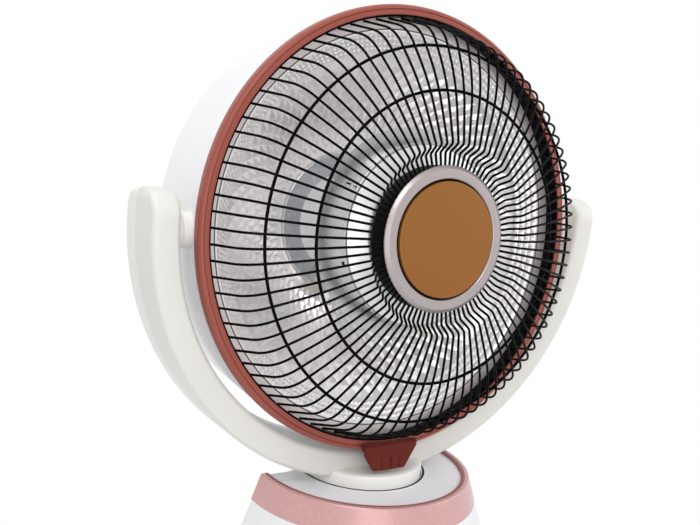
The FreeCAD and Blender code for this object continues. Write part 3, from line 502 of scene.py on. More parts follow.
# Pilot lens: a small clear red dome that a lamp lights from behind.
# It is moulded in acrylic and pressed into its hole.
lens_height = control_height + 25
lens_radius = 3.5
lens_stem = -4.6
lens_dome = lathe([(0, lens_stem), (lens_radius, lens_stem), (lens_radius, 0.6),
                   (lens_radius - 1.1, 1.9), (0, 2.2)], [0, 0, 1.4, 1.4, 0], 40,
                  float(wall_at(lens_height)))
red_acrylic = finish("red_acrylic", base_color=linear("#B5281D"), roughness=0.12,
                     transmission_weight=0.35)[0]
lens = piece("pilot_dome", "base", "lens", red_acrylic, at_control(lens_dome, 0, lens_height))
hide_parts("pilot_lens")

# Cord gland: a black moulded sleeve with a flange, set through the back of the base.
# The supply cord would leave through its bore.
gland_height = 28.0
gland_end = 1000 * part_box("cord_gland")[1].y
gland_start = drum_radius - 10
gland_bore = 3.5
gland_neck = 7.0
flange_radius = 10.0
flange_back = drum_radius - 0.5
flange_face = drum_radius + 3
sleeve = lathe([(gland_bore, gland_start), (gland_neck, gland_start), (gland_neck, flange_back),
                (flange_radius, flange_back), (flange_radius, flange_face),
                (gland_neck + 0.4, flange_face), (gland_neck - 0.4, gland_end),
                (gland_bore, gland_end)], [0, 0, 0, 0, 1.0, 0.6, 1.0, 0.5], 64)
gland = piece("gland_sleeve", "base", "black_plastic", black_abs,
              placed(sleeve, (0, 0, gland_height), (0, 1, 0)))
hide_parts("cord_gland")

# Inside the base: terminal block, leads, swing motor and its crank.
# Ceramic, silicone sleeve and steel, all bought-in pieces.
ceramic = moulded("white_steatite_ceramic", "#E4DFD2", "#D8D2C4", 0.6, 1.0, 0.03)
silicone = moulded("grey_silicone_sleeve", "#C5C1BA", "#B5B0A9", 0.55)
motor_steel = plated("motor_can_steel", "#A8A9AA", "#8F9091", 0.4)
dress(ceramic, "terminal_block")
dress(silicone, "base_leads")
dress(motor_steel, "swing_motor")
dress(zinc_steel, "swing_crank")

# Swivel foot: a warm white round foot that turns in the socket, on a hollow steel spindle.
# Clip and slotted lever hold and swing it from below.
foot_radius = 54.0
foot_base = 168.3
foot_top = 189.5
swivel_cap = lathe([(0, foot_base), (foot_radius, foot_base), (foot_radius, foot_top - 1.0),
                    (foot_radius - 4, foot_top), (0, foot_top)], [0, 0.5, 5.0, 4.0, 0], 160)
# This white is lighter than the base moulding: painted light against the shade under the head.
lit_white_abs = moulded("white_abs_painted_light", "#F5F4F1", "#F0EFEB", 0.3)
swivel = piece("swivel_foot_cap", "yoke", "white_plastic", lit_white_abs, swivel_cap)
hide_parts("swivel_foot")
dress(zinc_steel, "foot_screws", "swivel_spindle", "spindle_clip", "swing_lever")

# Yoke: a deep U of two white ABS shells, screwed together from behind.
# The seam runs round the side a third from the rear, and the arms end in large rounds.
pivot_height = 390.0
yoke_inner = 199.5
yoke_inner_level = pivot_height + 10.5
yoke_outer = 221.5
yoke_outer_level = pivot_height + 9.0
arm_top = pivot_height + 31.0
yoke_half_depth = 26.5
yoke_seam = 8.0
front_round = 4.0
rear_round = 2.5
arm_round = 18.0
arm_tip_round = 6.0
front_crown = 0.8
rear_inset = 0.3
seam_chamfer = 0.35
arm_run = np.sin(np.linspace(0, np.pi / 2, 16)[:-1]) ** 2
sweep = np.radians(np.linspace(180, 360, 121))


def yoke_line(radius, level):
    """Line of the U: down one arm to a level, round half a circle and up the other arm."""
    arm = arm_top + (level - arm_top) * arm_run
    bow = joined(radius * np.cos(sweep), level + radius * np.sin(sweep))
    return np.concatenate([joined(-radius, arm), bow, joined(radius, arm[::-1])])


outer_line = yoke_line(yoke_outer, yoke_outer_level)
inner_line = yoke_line(yoke_inner, yoke_inner_level)
yoke_middle = (outer_line + inner_line) / 2
yoke_across = (outer_line - inner_line) / 2
yoke_half = np.linalg.norm(yoke_across, axis=1, keepdims=True)
yoke_across = yoke_across / yoke_half
from_tip = arm_top - yoke_middle[:, 1:]


def drawn_in(size, radius):
    """Half size near the arm tip, drawn in by a quarter circle of a radius."""
    short = np.clip(radius - from_tip, 0, radius)
    return size - radius + np.sqrt(radius ** 2 - short ** 2)


half_thick = drawn_in(yoke_half, arm_tip_round)
half_deep = drawn_in(yoke_half_depth, arm_round)
quarter = np.radians(np.linspace(0, 90, 9))[None, :]


def yoke_shell(side, corner_round):
    """Section of one shell carried along the U: from the seam over two round corners back to it.
    Across runs from the outer to the inner face, deep runs along Y. The broad face in front bulges
    by the crown times 1 minus the square of the share across; the one behind is set in."""
    seam = np.minimum(yoke_seam, half_deep - 1.2) * side
    edge = seam + seam_chamfer
    corner = np.minimum(corner_round, np.minimum(half_thick - 0.3, half_deep - edge - 0.1))
    outer = half_thick - corner + corner * np.cos(quarter)
    lip = half_thick - seam_chamfer
    across = np.concatenate([lip, half_thick, outer, -outer[:, ::-1], -half_thick, -lip, lip], 1)
    back = half_deep - corner + corner * np.sin(quarter)
    down = np.concatenate([seam, edge, back, back[:, ::-1], edge, seam, seam], 1)
    bulge = np.clip(front_crown * (1 - (across / half_thick) ** 2), 0, None)
    broad = down > 0.7 * half_deep
    down = side * (down + broad * (bulge if side < 0 else -rear_inset))
    spot = yoke_middle[:, None, :] + across[:, :, None] * yoke_across[:, None, :]
    return closed_ends(joined(spot[..., 0], down, spot[..., 1]))


def at_pivot(points, side):
    """From a pivot's own frame, z outwards from the middle of the head, to the part."""
    return placed(points, (0, 0, pivot_height), (side, 0, 0))


boss_radius = 16.5
boss_hole = 5.1
boss_depth = 9.0
boss_face = 198.8
boss = lathe(oblong(boss_hole, boss_radius, 0, boss_depth), [0, 0.8, 0, 0], 64, boss_face)
warm_abs = moulded("warm_white_abs_moulded", "#E5E4DF", "#DFDED8", 0.3)
rear_abs = moulded("pale_white_abs_moulded", "#EFEEEC", "#E9E8E6", 0.28)
yoke_front = piece("yoke_front_shell", "yoke", "white_plastic", warm_abs,
                   yoke_shell(-1, front_round), at_pivot(boss, 1), at_pivot(boss, -1))
yoke_rear = piece("yoke_rear_shell", "yoke", "white_plastic", rear_abs, yoke_shell(1, rear_round))
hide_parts("yoke_front")
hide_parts("yoke_rear")
dress(zinc_steel, "yoke_screws")

# Head pivots: white round stubs on the sides of the housing, with a fibre washer and a steel
# bolt each. Friction between stub and yoke holds the head at its tilt.
head_lean = np.radians(5)
head_ahead = (0, -np.cos(head_lean), np.sin(head_lean))
stub_radius = 17.3
stub_start = 192.5
stub_end = 197.5
neck_radius = 14.0
neck_start = 176.0
neck_end = 193.0
stub_grid = lathe(oblong(0, stub_radius, stub_start, stub_end), [0, 1.2, 0.6, 0], 72)
neck_grid = lathe(oblong(0, neck_radius, neck_start, neck_end), 0, 72)
# The pivot necks take the lighter white: painted light against the shade between arm and housing.
for name, side in (("left", -1), ("right", 1)):
    stub = piece(name + "_pivot_stub", "head", "white_plastic", warm_abs, at_pivot(stub_grid, side))
    piece(name + "_pivot_neck", "head", "white_plastic", lit_white_abs, at_pivot(neck_grid, side))
    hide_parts(name + "_trunnion")
fibre = moulded("vulcanised_fibre", "#8A6A4A", "#775A3D", 0.7, 1.0, 0.03)
dress(fibre, "friction_washers")
dress(zinc_steel, "pivot_bolts", "trunnion_screws")

# Rear housing: a deep white ABS bowl with a ring of straight vents in its back.
# The dish, the guard and the front ring all sit in its open front.
ring_forward = 25.5
ring_depth = 9.0
housing_radius = 184.2
housing_depth = 97.0
housing_wall = 2.4
housing_front = ring_forward - ring_depth
corner_middle = 145.0
corner_level = ring_forward - housing_depth
corner_round = 28.0
vent_count = 16
vent_start = 58.0
vent_end = 112.0
vent_half = 2.0
vent_slack = 0.01
wall_run = housing_radius - corner_middle - corner_round
housing_lean = np.arctan(wall_run / (housing_depth - ring_depth))
wall_share = np.linspace(0, 1, 16)
bend_turn = np.linspace(housing_lean, np.pi / 2, 14)
bend_radius = corner_middle + corner_round * np.cos(bend_turn)
bend_level = corner_level - corner_round * np.sin(bend_turn)
wall_radius = housing_radius + (bend_radius[0] - housing_radius) * wall_share
wall_level = housing_front + (bend_level[0] - housing_front) * wall_share
vent_tip = vent_half * np.sin(np.linspace(0, np.pi / 2, 5)) ** 2
back_radius = np.r_[np.linspace(corner_middle, vent_end + 3, 4)[1:], vent_end - vent_tip,
                    np.linspace(vent_end - 6, vent_start + 6, 8), vent_start + vent_tip[::-1],
                    50, 36, 22, 10, 0]
back_level = np.full_like(back_radius, corner_level - corner_round)
bowl_radius = np.r_[wall_radius[:-1], bend_radius, back_radius]
bowl_level = np.r_[wall_level[:-1], bend_level, back_level]
reach_in = np.clip(np.minimum(vent_end - bowl_radius, bowl_radius - vent_start), 0, vent_half)
vent_width = np.sqrt(vent_half ** 2 - (vent_half - reach_in) ** 2)
outside = (bowl_radius > vent_end + vent_slack) | (bowl_radius < vent_start - vent_slack)
vent_width = np.where(outside, vent_half, vent_width)
vent_angle = np.arcsin(vent_width / np.clip(bowl_radius, vent_start, vent_end))[:, None]
sector = 2 * np.pi / vent_count
slot_share = np.array([-1, -0.5, 0, 0.5])
land_share = np.linspace(0, 1, 9)[:-1]
one_sector = np.concatenate([vent_angle * slot_share,
                             vent_angle + (sector - 2 * vent_angle) * land_share], 1)
bowl_angle = np.concatenate([one_sector + sector * (turn + 0.5) for turn in range(vent_count)], 1)
bowl_angle = np.concatenate([bowl_angle, bowl_angle[:, :1] + 2 * np.pi], 1)
bowl = upright(bowl_angle, bowl_radius[:, None], bowl_level[:, None])
in_slot = np.tile(np.arange(len(slot_share) + len(land_share)) < len(slot_share), vent_count)
in_vent = ~(outside[:-1] | outside[1:])
kept_faces = ~(in_vent[:, None] & in_slot[None, :])


def on_head(points):
    """From the head's own frame, z forward and y up from the pivot, to the part."""
    return placed(points, (0, 0, pivot_height), head_ahead)


# Whiter than the other mouldings: painted light against the shade of the yoke on the bowl.
housing_lit_abs = moulded("cool_white_abs_painted_light", "#F7F7F9", "#F2F2F5", 0.28)
housing = piece("housing_bowl", "head", "white_plastic", housing_lit_abs, (on_head(bowl), kept_faces),
                sheet=True)
walled(housing, housing_wall)
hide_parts("rear_housing")

# Inside the head: cut-out, terminal block and leads behind the dish.
# Steel and phenolic cut-out, ceramic terminals, silicone sleeves.
dress(motor_steel, "thermal_cutout")
dress(ceramic, "head_terminal", "tube_end_caps")
dress(silicone, "head_leads")

# Reflector dish: spun bright aluminium with a flat floor and foot ring, a field of staggered
# diamond bosses, four rows of fine bosses and a plain rim that rests on the housing.
dish_rim = 164.0
dish_rim_level = -14.0
dish_floor = 65.0
dish_depth = -92.4
dish_bulge = 4.4
dish_edge = 180.8
dish_sheet = 0.8
diamond_count = 72
diamond_columns = 12
diamond_pitch = 15.8
diamond_start = 68.0
diamond_end = 147.0
diamond_rise = 2.3
diamond_flat = 0.2
fine_count = 216
fine_rows = 4
fine_pitch = 3.6
fine_start = 148.8
fine_end = fine_start + fine_rows * fine_pitch
fine_rise = 1.6
foot_ring_inner = 45.0
foot_ring_outer = 62.5
bead_rise = 0.7
step_start = 165.3
step_end = 166.4
step_depth = 0.5
dish_run = dish_rim - dish_floor
dish_rise = dish_rim_level - dish_depth
dish_chord = np.hypot(dish_run, dish_rise)
flank_round = (dish_chord ** 2 / 4 + dish_bulge ** 2) / (2 * dish_bulge)
flank_middle = dish_floor + dish_run / 2 - dish_rise / dish_chord * (flank_round - dish_bulge)
flank_ahead = dish_depth + dish_rise / 2 + dish_run / dish_chord * (flank_round - dish_bulge)


def flank_level(radius):
    """Height of the dish at a radius: flat floor, then an arc that hangs behind its chord by the
    bulge, then flat rim."""
    across = np.clip(radius, dish_floor, dish_rim) - flank_middle
    return flank_ahead - np.sqrt(flank_round ** 2 - across ** 2)


def dish_line(radius, lift=0.0):
    """Outline of radius and height along the dish, lifted off it by a height."""
    radius = np.array(radius, float)
    return joined(radius, ring_forward + flank_level(radius) + lift)


def off_flank(angle, radius, lift):
    """Points of the dish at an angle and a radius, lifted off the flank square to it."""
    lean = np.arcsin((np.clip(radius, dish_floor, dish_rim) - flank_middle) / flank_round)
    return upright(angle, radius - lift * np.sin(lean),
                   ring_forward + flank_level(radius) + lift * np.cos(lean))


def dish_spot(around, outward, lift=0.0):
    """Points of the diamond field, counted in bosses round the dish and in pitches outwards."""
    return off_flank(np.array(around, float) * 2 * np.pi / diamond_count,
                     diamond_start + diamond_pitch * np.array(outward, float), lift)


def diamond(around, outward):
    """Boss with four facets from its corners on the flank up to a small flat top."""
    corner_turn = np.array([0, 1, 0, -1, 0]) / 2
    corner_out = np.array([1, 0, -1, 0, 1]) / 2
    share = np.array([0.0, diamond_flat, 1.0])[:, None]
    return dish_spot(around + share * corner_turn, outward + share * corner_out,
                     diamond_rise * np.array([1.0, 1.0, 0.0])[:, None])


def half_diamond(around, edge, middle):
    """Flat filling between two bosses and the edge of the field, a fan from its apex."""
    turn = around + np.linspace(-0.5, 0.5, diamond_columns + 1)
    rows = [dish_spot(turn, edge + 0 * turn), dish_spot(around + 0 * turn, middle + 0 * turn)]
    return np.stack(rows if edge < middle else rows[::-1])


def spun_sheet(name, pale, deep, roughness, metallic=1.0):
    """Bright rolled aluminium: faint cloud of about 9 mm in gloss, from rolling and spinning."""
    return plated(name, pale, deep, roughness, 9.0, metallic, 0.02, 0.03)


def head_piece(name, slot, material, *grids, **options):
    """A piece that rides on the head, of grids in the head's own frame."""
    return piece(name, "head", slot, material, *map(on_head, grids), **options)


diamond_rows = round((diamond_end - diamond_start) / diamond_pitch)
places = np.arange(diamond_count)
bosses = [diamond(turn + 0.5, row) for row in range(1, diamond_rows) for turn in places]
bosses += [diamond(turn, row + 0.5) for row in range(diamond_rows) for turn in places]
bosses += [half_diamond(turn + 0.5, 0, 0.5) for turn in places]
bosses += [half_diamond(turn + 0.5, diamond_rows, diamond_rows - 0.5) for turn in places]
dish_turns = diamond_columns * diamond_count
dish_angle = np.linspace(0, 2 * np.pi, dish_turns + 1)[None, :]
fine_radius = np.r_[diamond_end, np.linspace(fine_start, fine_end, 6 * fine_rows + 1),
                    dish_rim, step_start][:, None]
fine_row = np.clip((fine_radius - fine_start) / fine_pitch, 0, fine_rows)
fine_turn = dish_angle * fine_count / (2 * np.pi) + 0.5 * np.floor(fine_row)
fine = fine_rise * np.sin(np.pi * fine_row) ** 2 * np.sin(np.pi * fine_turn) ** 2
plain_line = dish_line(np.linspace(foot_ring_outer, diamond_start, 4))
foot_ring_line = dish_line([foot_ring_inner, *(foot_ring_outer - np.array([2.0, 1.2, 0.5, 0.0]))],
                           bead_rise * np.array([0, 0, 1, 1, 0]))
floor_line = dish_line([0.0, foot_ring_inner / 2, foot_ring_inner])
step_line = dish_line([step_start, step_start + 0.1, step_end - 0.1, step_end],
                      -step_depth * np.array([0, 1, 1, 0]))
rim_line = dish_line([step_end, dish_edge, dish_edge], -dish_sheet * np.array([0, 0, 1]))
back_line = dish_line([dish_edge, *np.linspace(dish_rim, dish_floor, 24), 0.0], -dish_sheet)
dish_metal = spun_sheet("embossed_bright_aluminium", "#FDFAF9", "#FAF7F6", 0.3, 0.9)
rim_metal = spun_sheet("satin_rim_aluminium", "#EDE3E2", "#E5DBDA", 0.35, 0.5)
# The dark step strip is painted shade of the step between the bosses and the rim.
step_shade_metal = spun_sheet("step_painted_shade_aluminium", "#6C6766", "#625D5C", 0.5, 0.3)
burnished = spun_sheet("burnished_aluminium", "#DADEE4", "#D0D4DA", 0.28, 0.75)
# The floor disc is near-white and almost matt: painted reflection in place of the light that bright
# aluminium shows there.
floor_reflection_metal = spun_sheet("floor_aluminium_painted_reflection", "#FDFDFF", "#F9F9FC", 0.4, 0.05)
dish = head_piece("embossed_dish", "dish_aluminium", dish_metal, *bosses,
                  off_flank(dish_angle, fine_radius, fine), turned(plain_line, dish_turns),
                  turned(back_line), sheet=True, crease=16)
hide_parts("reflector_dish")
head_piece("dish_rim_strip", "dish_aluminium", rim_metal, turned(rim_line, 288), sheet=True)
# Step strip in its painted shade.
head_piece("dish_step_line", "dish_aluminium", step_shade_metal, turned(step_line, 288), sheet=True)
head_piece("dish_foot_ring", "dish_aluminium", burnished, turned(foot_ring_line), sheet=True)
# Floor disc in its painted reflection white.
head_piece("dish_floor_disc", "dish_aluminium", floor_reflection_metal, turned(floor_line), sheet=True)

# Front reflector: a shallow polished aluminium pan on a post, open towards the dish.
# Its cone wall is a strip with a lap seam and short slots; its front face is matt anodised.
pan_front = 26.5
pan_front_radius = 75.3
pan_rim = 2.7
pan_rim_radius = 86.9
pan_rise = 7.0
pan_drop = pan_rim - pan_front
face_level = ring_forward + pan_front
fold_radius = pan_front_radius - 2.4
face_radius = pan_front_radius - 2.2
pan_grid = lathe([(pan_front_radius, 0), (pan_rim_radius, pan_drop),
                  (pan_rim_radius - 1.2, pan_drop + 0.2), (pan_front_radius - 1.4, -1),
                  (fold_radius, -1), (fold_radius, 0)], [1.0, 0.3, 0.3, 0.4, 0, 0], seat=face_level)
face_grid = lathe([(0, -1), (face_radius, -1), (face_radius, 0.03),
                   (pan_front_radius - 22, pan_rise), (0, pan_rise)], [0, 0, 0.2, 3.0, 0],
                  seat=face_level)
pan_metal = spun_sheet("polished_aluminium", "#D4D4D5", "#C8C9CA", 0.24)
matt_metal = spun_sheet("matt_anodised_aluminium", "#FEFEFE", "#FBFBFB", 0.3, 0.85)
pan = head_piece("polished_pan", "polished_aluminium", pan_metal, pan_grid)
head_piece("pan_front_face", "polished_aluminium", matt_metal, face_grid)
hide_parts("front_reflector")


def faded(run):
    """1 along a run of values, let down to 0 at both its ends."""
    return np.minimum(1, 40 * np.minimum(np.abs(run - run.min()), np.abs(run - run.max())))


def lapped(share_low, share_high, turn_low, turn_high, lift):
    """Thin patch that follows the cone wall of the pan, between two shares from front to rim and
    two angles, lifted off it in the middle and with its edges let down into it."""
    share = np.linspace(share_low, share_high, 12)[:, None]
    turn = np.linspace(turn_low, turn_high, 12)[None, :]
    radius = pan_front_radius + (pan_rim_radius - pan_front_radius) * share
    return upright(np.radians(turn), radius + lift * faded(share) * faded(turn) - 0.2,
                   face_level + pan_drop * share)


# The slots are dark patches laid on the cone wall: painted shade where their openings are.
slot_lift = 0.45
slot_shadow = moulded("slot_painted_shade", "#141414", "#0E0E0E", 0.8)
head_piece("pan_lap_seam", "polished_aluminium", pan_metal, lapped(0.04, 0.97, 150, 153, 0.7),
           sheet=True)
head_piece("pan_slots", "black_plastic", slot_shadow, lapped(0.26, 0.46, 149.0, 150.4, slot_lift),
           lapped(0.04, 0.2, 149.6, 151.0, slot_lift), lapped(0.06, 0.18, 195.0, 197.2, slot_lift),
           sheet=True)
dress(pan_metal, "reflector_post")
dress(zinc_steel, "post_screw")

# Heating element: a clear quartz tube bent to a loop, with a carbon strand inside.
# Its two ends stand in ceramic caps in the floor of the dish.
element_radius = 55.0
element_level = ring_forward - 16.0
element_gap = np.radians(30)
element_bend = 10.0
quartz_radius = 5.0
strand_radius = 1.5
element_foot = ring_forward + dish_depth - 6.0


def tube(path, side, radius, sides=12):
    """Round section carried along a path, square to it: side and side x run span each circle.
    Both ends are closed on the path."""
    run = np.gradient(path, axis=0)
    run = run / np.linalg.norm(run, axis=1, keepdims=True)
    lift = np.cross(run, side)[:, None, :]
    turn = np.linspace(0, 2 * np.pi, sides + 1)[None, :, None]
    skin = path[:, None, :] + radius * (np.cos(turn) * side[:, None, :] + np.sin(turn) * lift)
    ends = np.repeat(path[[0, -1]][:, None, :], sides + 1, 1)
    return np.concatenate([ends[:1], skin, ends[1:]])


loop_turn = np.linspace(-np.pi / 2 + element_gap, 1.5 * np.pi - element_gap, 121)
elbow = np.linspace(0, np.pi / 2, 12)[:-1]
elbow_level = element_level - element_bend + element_bend * np.sin(elbow)
elbow_turn = loop_turn[0] - element_bend * np.cos(elbow) / element_radius
leg_level = np.linspace(element_foot, element_level - element_bend, 10)[:-1]
half_turn = np.r_[np.full_like(leg_level, elbow_turn[0]), elbow_turn]
half_level = np.r_[leg_level, elbow_level]
path_turn = np.r_[half_turn, loop_turn, np.pi - half_turn[::-1]]
path_level = np.r_[half_level, np.full_like(loop_turn, element_level), half_level[::-1]]
element_path = upright(path_turn, element_radius, path_level)
element_side = upright(path_turn, 1.0, 0 * path_turn)
quartz_glass = finish("clear_quartz_glass", base_color=linear("#F4F6F8"), roughness=0.03,
                      transmission_weight=1.0, ior=1.46)[0]
carbon = moulded("carbon_fibre_strand", "#2A2A2B", "#161617", 0.5, 0.8, 0.05)
quartz = head_piece("quartz_loop", "quartz", quartz_glass,
                    tube(element_path, element_side, quartz_radius))
strand = head_piece("carbon_strand", "carbon", carbon,
                    tube(element_path, element_side, strand_radius, 8))
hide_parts("quartz_tube")
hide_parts("carbon_filament")

# Guard: 88 steel wires, coated gloss black, welded on two round hoops.
# Their outer ends stand in a flat strip hoop and their inner ends run under the hub.
wire_count = 88
wire_phase = np.radians(2.9)
wire_radius = 1.0
hoop_wire = 1.25
hub_seat = 52.2
wire_seat = hub_seat + wire_radius
strip_radius = 176.5
strip_inner = strip_radius - 1.5
strip_outer = strip_radius - 0.1
wire_corners = [(49.0, wire_seat), (68.6, wire_seat), (75.5, hub_seat + 10.1), (123.0, 53.0),
                (165.4, 32.2), (strip_inner - wire_radius - 0.06, -8.0)]
wire_line = softened(wire_corners, [0, 3.5, 3.5, 150.0, 28.0, 0], False, 12)
wire_path = upright(0.0, wire_line[:, 0], ring_forward + wire_line[:, 1])
wire_side = np.broadcast_to(np.array([0.0, 1.0, 0.0]), wire_path.shape)
one_wire = tube(wire_path, wire_side, wire_radius, 8)


def spun(points, turn):
    """Points turned about the head's axis."""
    spin = np.array([[np.cos(turn), np.sin(turn), 0], [-np.sin(turn), np.cos(turn), 0], [0, 0, 1]])
    return points @ spin


def hoop_at(reach):
    """Round hoop that lies against the inner side of the wires at a reach from the axis."""
    level = np.interp([reach - 0.5, reach, reach + 0.5], wire_line[:, 0], wire_line[:, 1])
    run = np.array([1.0, level[2] - level[0]]) / np.hypot(1.0, level[2] - level[0])
    down = wire_radius + hoop_wire
    spot = np.array([reach + run[1] * down, ring_forward + level[1] - run[0] * down])
    turn = np.linspace(0, 2 * np.pi, 11)
    return turned(spot + hoop_wire * joined(np.cos(turn), np.sin(turn)), 256)


wire_turns = wire_phase + 2 * np.pi * np.arange(wire_count) / wire_count
black_coat = moulded("gloss_black_coated_wire", "#060607", "#030304", 0.4, 1.2, 0.01,
                     specular_ior_level=0.04)
wires = head_piece("guard_wire_set", "black_wire", black_coat,
                   *(spun(one_wire, turn) for turn in wire_turns))
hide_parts("guard_wires")
for name, reach in (("inner", 116.6), ("outer", 151.6)):
    hoop = head_piece(name + "_hoop", "black_wire", black_coat, hoop_at(reach))
    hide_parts("guard_" + name + "_hoop")
strip_grid = lathe(oblong(strip_inner, strip_outer, -14, -1), 0.4, 256, ring_forward)
strip = head_piece("guard_strip_hoop", "black_wire", black_coat, strip_grid)
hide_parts("guard_band")

# Hub: a black moulded pan under the wire ends, a satin silver ring on top of them
# and a plain bronze disc. Three screws from behind hold it together.
hub_radius = 58.4
hub_depth = 16.0
hub_wall = 2.2
collar_radius = hub_radius - 0.6
collar_inner = collar_radius - hub_wall
disc_radius = 46.1
disc_face = ring_forward + 58.7
pan_seat = ring_forward + hub_seat
ring_seat = ring_forward + wire_seat + wire_radius
hub_pan_grid = lathe([(0, 0), (collar_radius, 0), (collar_radius, -hub_depth),
                      (collar_inner, -hub_depth), (collar_inner, -hub_wall), (0, -hub_wall)],
                     [0, 0.8, 0.8, 0.8, 0.8, 0], seat=pan_seat)
hub_ring_grid = lathe([(disc_radius + 1.6, 0), (hub_radius, 0), (hub_radius, 0.9),
                       (hub_radius - 3.2, 3.2), (disc_radius + 2.4, 3.3), (disc_radius + 1.6, 2.6)],
                      [0, 0.4, 1.4, 1.2, 0.5, 0.4], seat=ring_seat)
disc_grid = lathe([(0, ring_seat - 1), (disc_radius, ring_seat - 1), (disc_radius, disc_face - 0.2),
                   (disc_radius - 0.8, disc_face + 0.1), (0, disc_face + 0.8)], [0, 0, 0.6, 0.6, 0])
gap_grid = lathe(oblong(disc_radius - 1, disc_radius + 2, 0, 1.6), 0, seat=ring_seat)


def satin_turned(name, pale, deep, roughness, metallic):
    """Satin metal with fine turning lines: noise along the distance from the head's axis, in
    bands of about 0.8 mm, coarser than the real 0.1 mm so that they show."""
    made, tree, shader = finish(name, metallic=metallic)
    place = add(tree, "ShaderNodeTexCoord").outputs["Object"]
    level = add(tree, "ShaderNodeMapping", values={"Location": (0, 0, -pivot_height / 1000)},
                links={0: place})
    straight = add(tree, "ShaderNodeMapping", values={"Rotation": (head_lean - np.pi / 2, 0, 0)},
                   links={0: level.outputs[0]})
    flat = add(tree, "ShaderNodeVectorMath", {"operation": "MULTIPLY"}, {1: (1, 1, 0)},
               {0: straight.outputs[0]})
    reach = add(tree, "ShaderNodeVectorMath", {"operation": "LENGTH"}, links={0: flat.outputs[0]})
    lines = add(tree, "ShaderNodeTexNoise", {"noise_dimensions": "1D"},
                {"Scale": 1000 / 0.8, "Detail": 2}, {"W": reach.outputs["Value"]}).outputs["Fac"]
    rough = ranged(tree, lines, (0.3, 0.7), roughness - 0.06, roughness + 0.06)
    tree.links.new(tinted(tree, pale, deep, lines), shader.inputs["Base Color"])
    tree.links.new(rough, shader.inputs["Roughness"])
    return made


deep_black = moulded("deep_black_abs_moulded", "#0A0A0B", "#060607", 0.5, specular_ior_level=0.04)
silver = satin_turned("satin_silver_plate", "#B5ACAC", "#A89F9F", 0.36, 0.85)
bronze = satin_turned("bronze_lacquered_disc", "#966023", "#8A561F", 0.45, 0.4)
hub_pan = head_piece("hub_collar", "black_plastic", deep_black, hub_pan_grid)
hub_ring = head_piece("hub_silver_ring", "silver_ring", silver, hub_ring_grid)
hub_disc = head_piece("hub_bronze_disc", "bronze_disc", bronze, disc_grid)
head_piece("hub_gap_ring", "black_plastic", deep_black, gap_grid)
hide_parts("hub_pan")
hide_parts("hub_ring")
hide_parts("hub_disc")
dress(zinc_steel, "hub_screws")

# Front ring: a terracotta ABS bezel that holds guard and dish in the housing. A fine groove
# parts its flat inner face from the rounded outer edge; a lug below takes the latch pin.
ring_radius = 185.0
ring_lip = 176.5
pin_drop = ring_lip + 4.0
pin_out = ring_forward + 5.0
latch_place = -5.0
lug_half = 6.0
lug_round = 2.6
ring_grid = lathe([(ring_lip, -ring_depth), (ring_lip, 0), (ring_lip + 3.7, -0.2),
                   (ring_lip + 4.3, -1.1), (ring_lip + 4.9, -0.2), (ring_radius - 1.6, -0.8),
                   (ring_radius, -3.2), (ring_radius, -ring_depth)],
                  [0, 0.8, 0.3, 0.2, 0.3, 2.4, 2.0, 0.4], 288, ring_forward)
lug_outline = softened(oblong(-lug_round, lug_round, ring_forward - 2, pin_out + lug_round),
                       [0, 0, lug_round, lug_round])
lug_sides = latch_place + np.array([[-lug_half], [lug_half]])
lug = joined(lug_sides, lug_outline[:, 0] - pin_drop, lug_outline[:, 1])
terracotta = moulded("terracotta_abs_moulded", "#9D5145", "#944A3E", 0.3, specular_ior_level=0.35)
front_ring = head_piece("terracotta_ring", "terracotta_plastic", terracotta, ring_grid,
                        closed_ends(lug))
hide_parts("front_ring")
dress(zinc_steel, "latch_pin")

# Guard latch: a brick red ABS thumb clip that turns on a pin at the foot of the ring.
# It tapers downwards and has three grip grooves, which part its lower edge into four lobes.
latch_top_half = 27.0
latch_foot_half = 14.5
latch_length = 19.8
pin_wall = 4.3
latch_front = pin_out + 3.2
latch_back = pin_out - pin_wall
latch_top = -pin_drop + pin_wall
side_round = 1.2
top_round = 4.0
foot_round = 3.0
groove_half = 0.9
groove_depth = 1.3
groove_spacing = 9.0
lobe_depth = 0.9
ring_clearance = 2.6


def rolled(share):
    """Drop of a quarter circle of radius 1 at a share of its run: 1 minus the root of
    1 minus the square of the share."""
    return 1 - np.sqrt(1 - np.clip(share, 0, 1) ** 2)


down_share = np.r_[np.linspace(0, 0.12, 6), np.linspace(0.12, 0.86, 20)[1:],
                   np.linspace(0.86, 1, 10)[1:]][:, None]
face_share = np.linspace(-1, 1, 101)[None, :]
latch_height = latch_top - (latch_length + pin_wall) * down_share
taper = np.clip((down_share - 0.2) / 0.8, 0, 1)
latch_half = latch_top_half + (latch_foot_half - latch_top_half) * taper
latch_across = face_share * latch_half
foot_share = np.clip((down_share - 0.9) / 0.1, 0, 1)
groove_off = np.abs((latch_across + groove_spacing / 2) % groove_spacing - groove_spacing / 2)
in_groove = np.clip(1.4 - groove_off / groove_half, 0, 1)
in_groove = in_groove * (np.abs(latch_across) < 1.5 * groove_spacing)
in_groove = in_groove * np.clip((down_share - 0.5) / 0.06, 0, 1)
front_level = latch_front - groove_depth * in_groove - foot_round * rolled(foot_share)
front_level = front_level - side_round * rolled((np.abs(face_share) - 0.94) / 0.06)
front_level = front_level - top_round * rolled(1 - down_share / 0.1)
rear_level = latch_back + ring_clearance * (latch_height > -ring_radius - 0.6)
lobed_height = latch_height + lobe_depth * in_groove * foot_share
front_points = joined(latch_place + latch_across, lobed_height, front_level)
rear_points = joined(latch_place + 0.985 * latch_across[:, ::-1], latch_height, rear_level)
latch_skin = closed_ends(np.concatenate([front_points, rear_points, front_points[:, :1]], 1))
brick = moulded("brick_red_abs_moulded", "#6C2014", "#611B11", 0.45, specular_ior_level=0.2)
latch = piece("latch_clip", "latch", "latch_plastic", brick, on_head(latch_skin))
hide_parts("guard_latch")

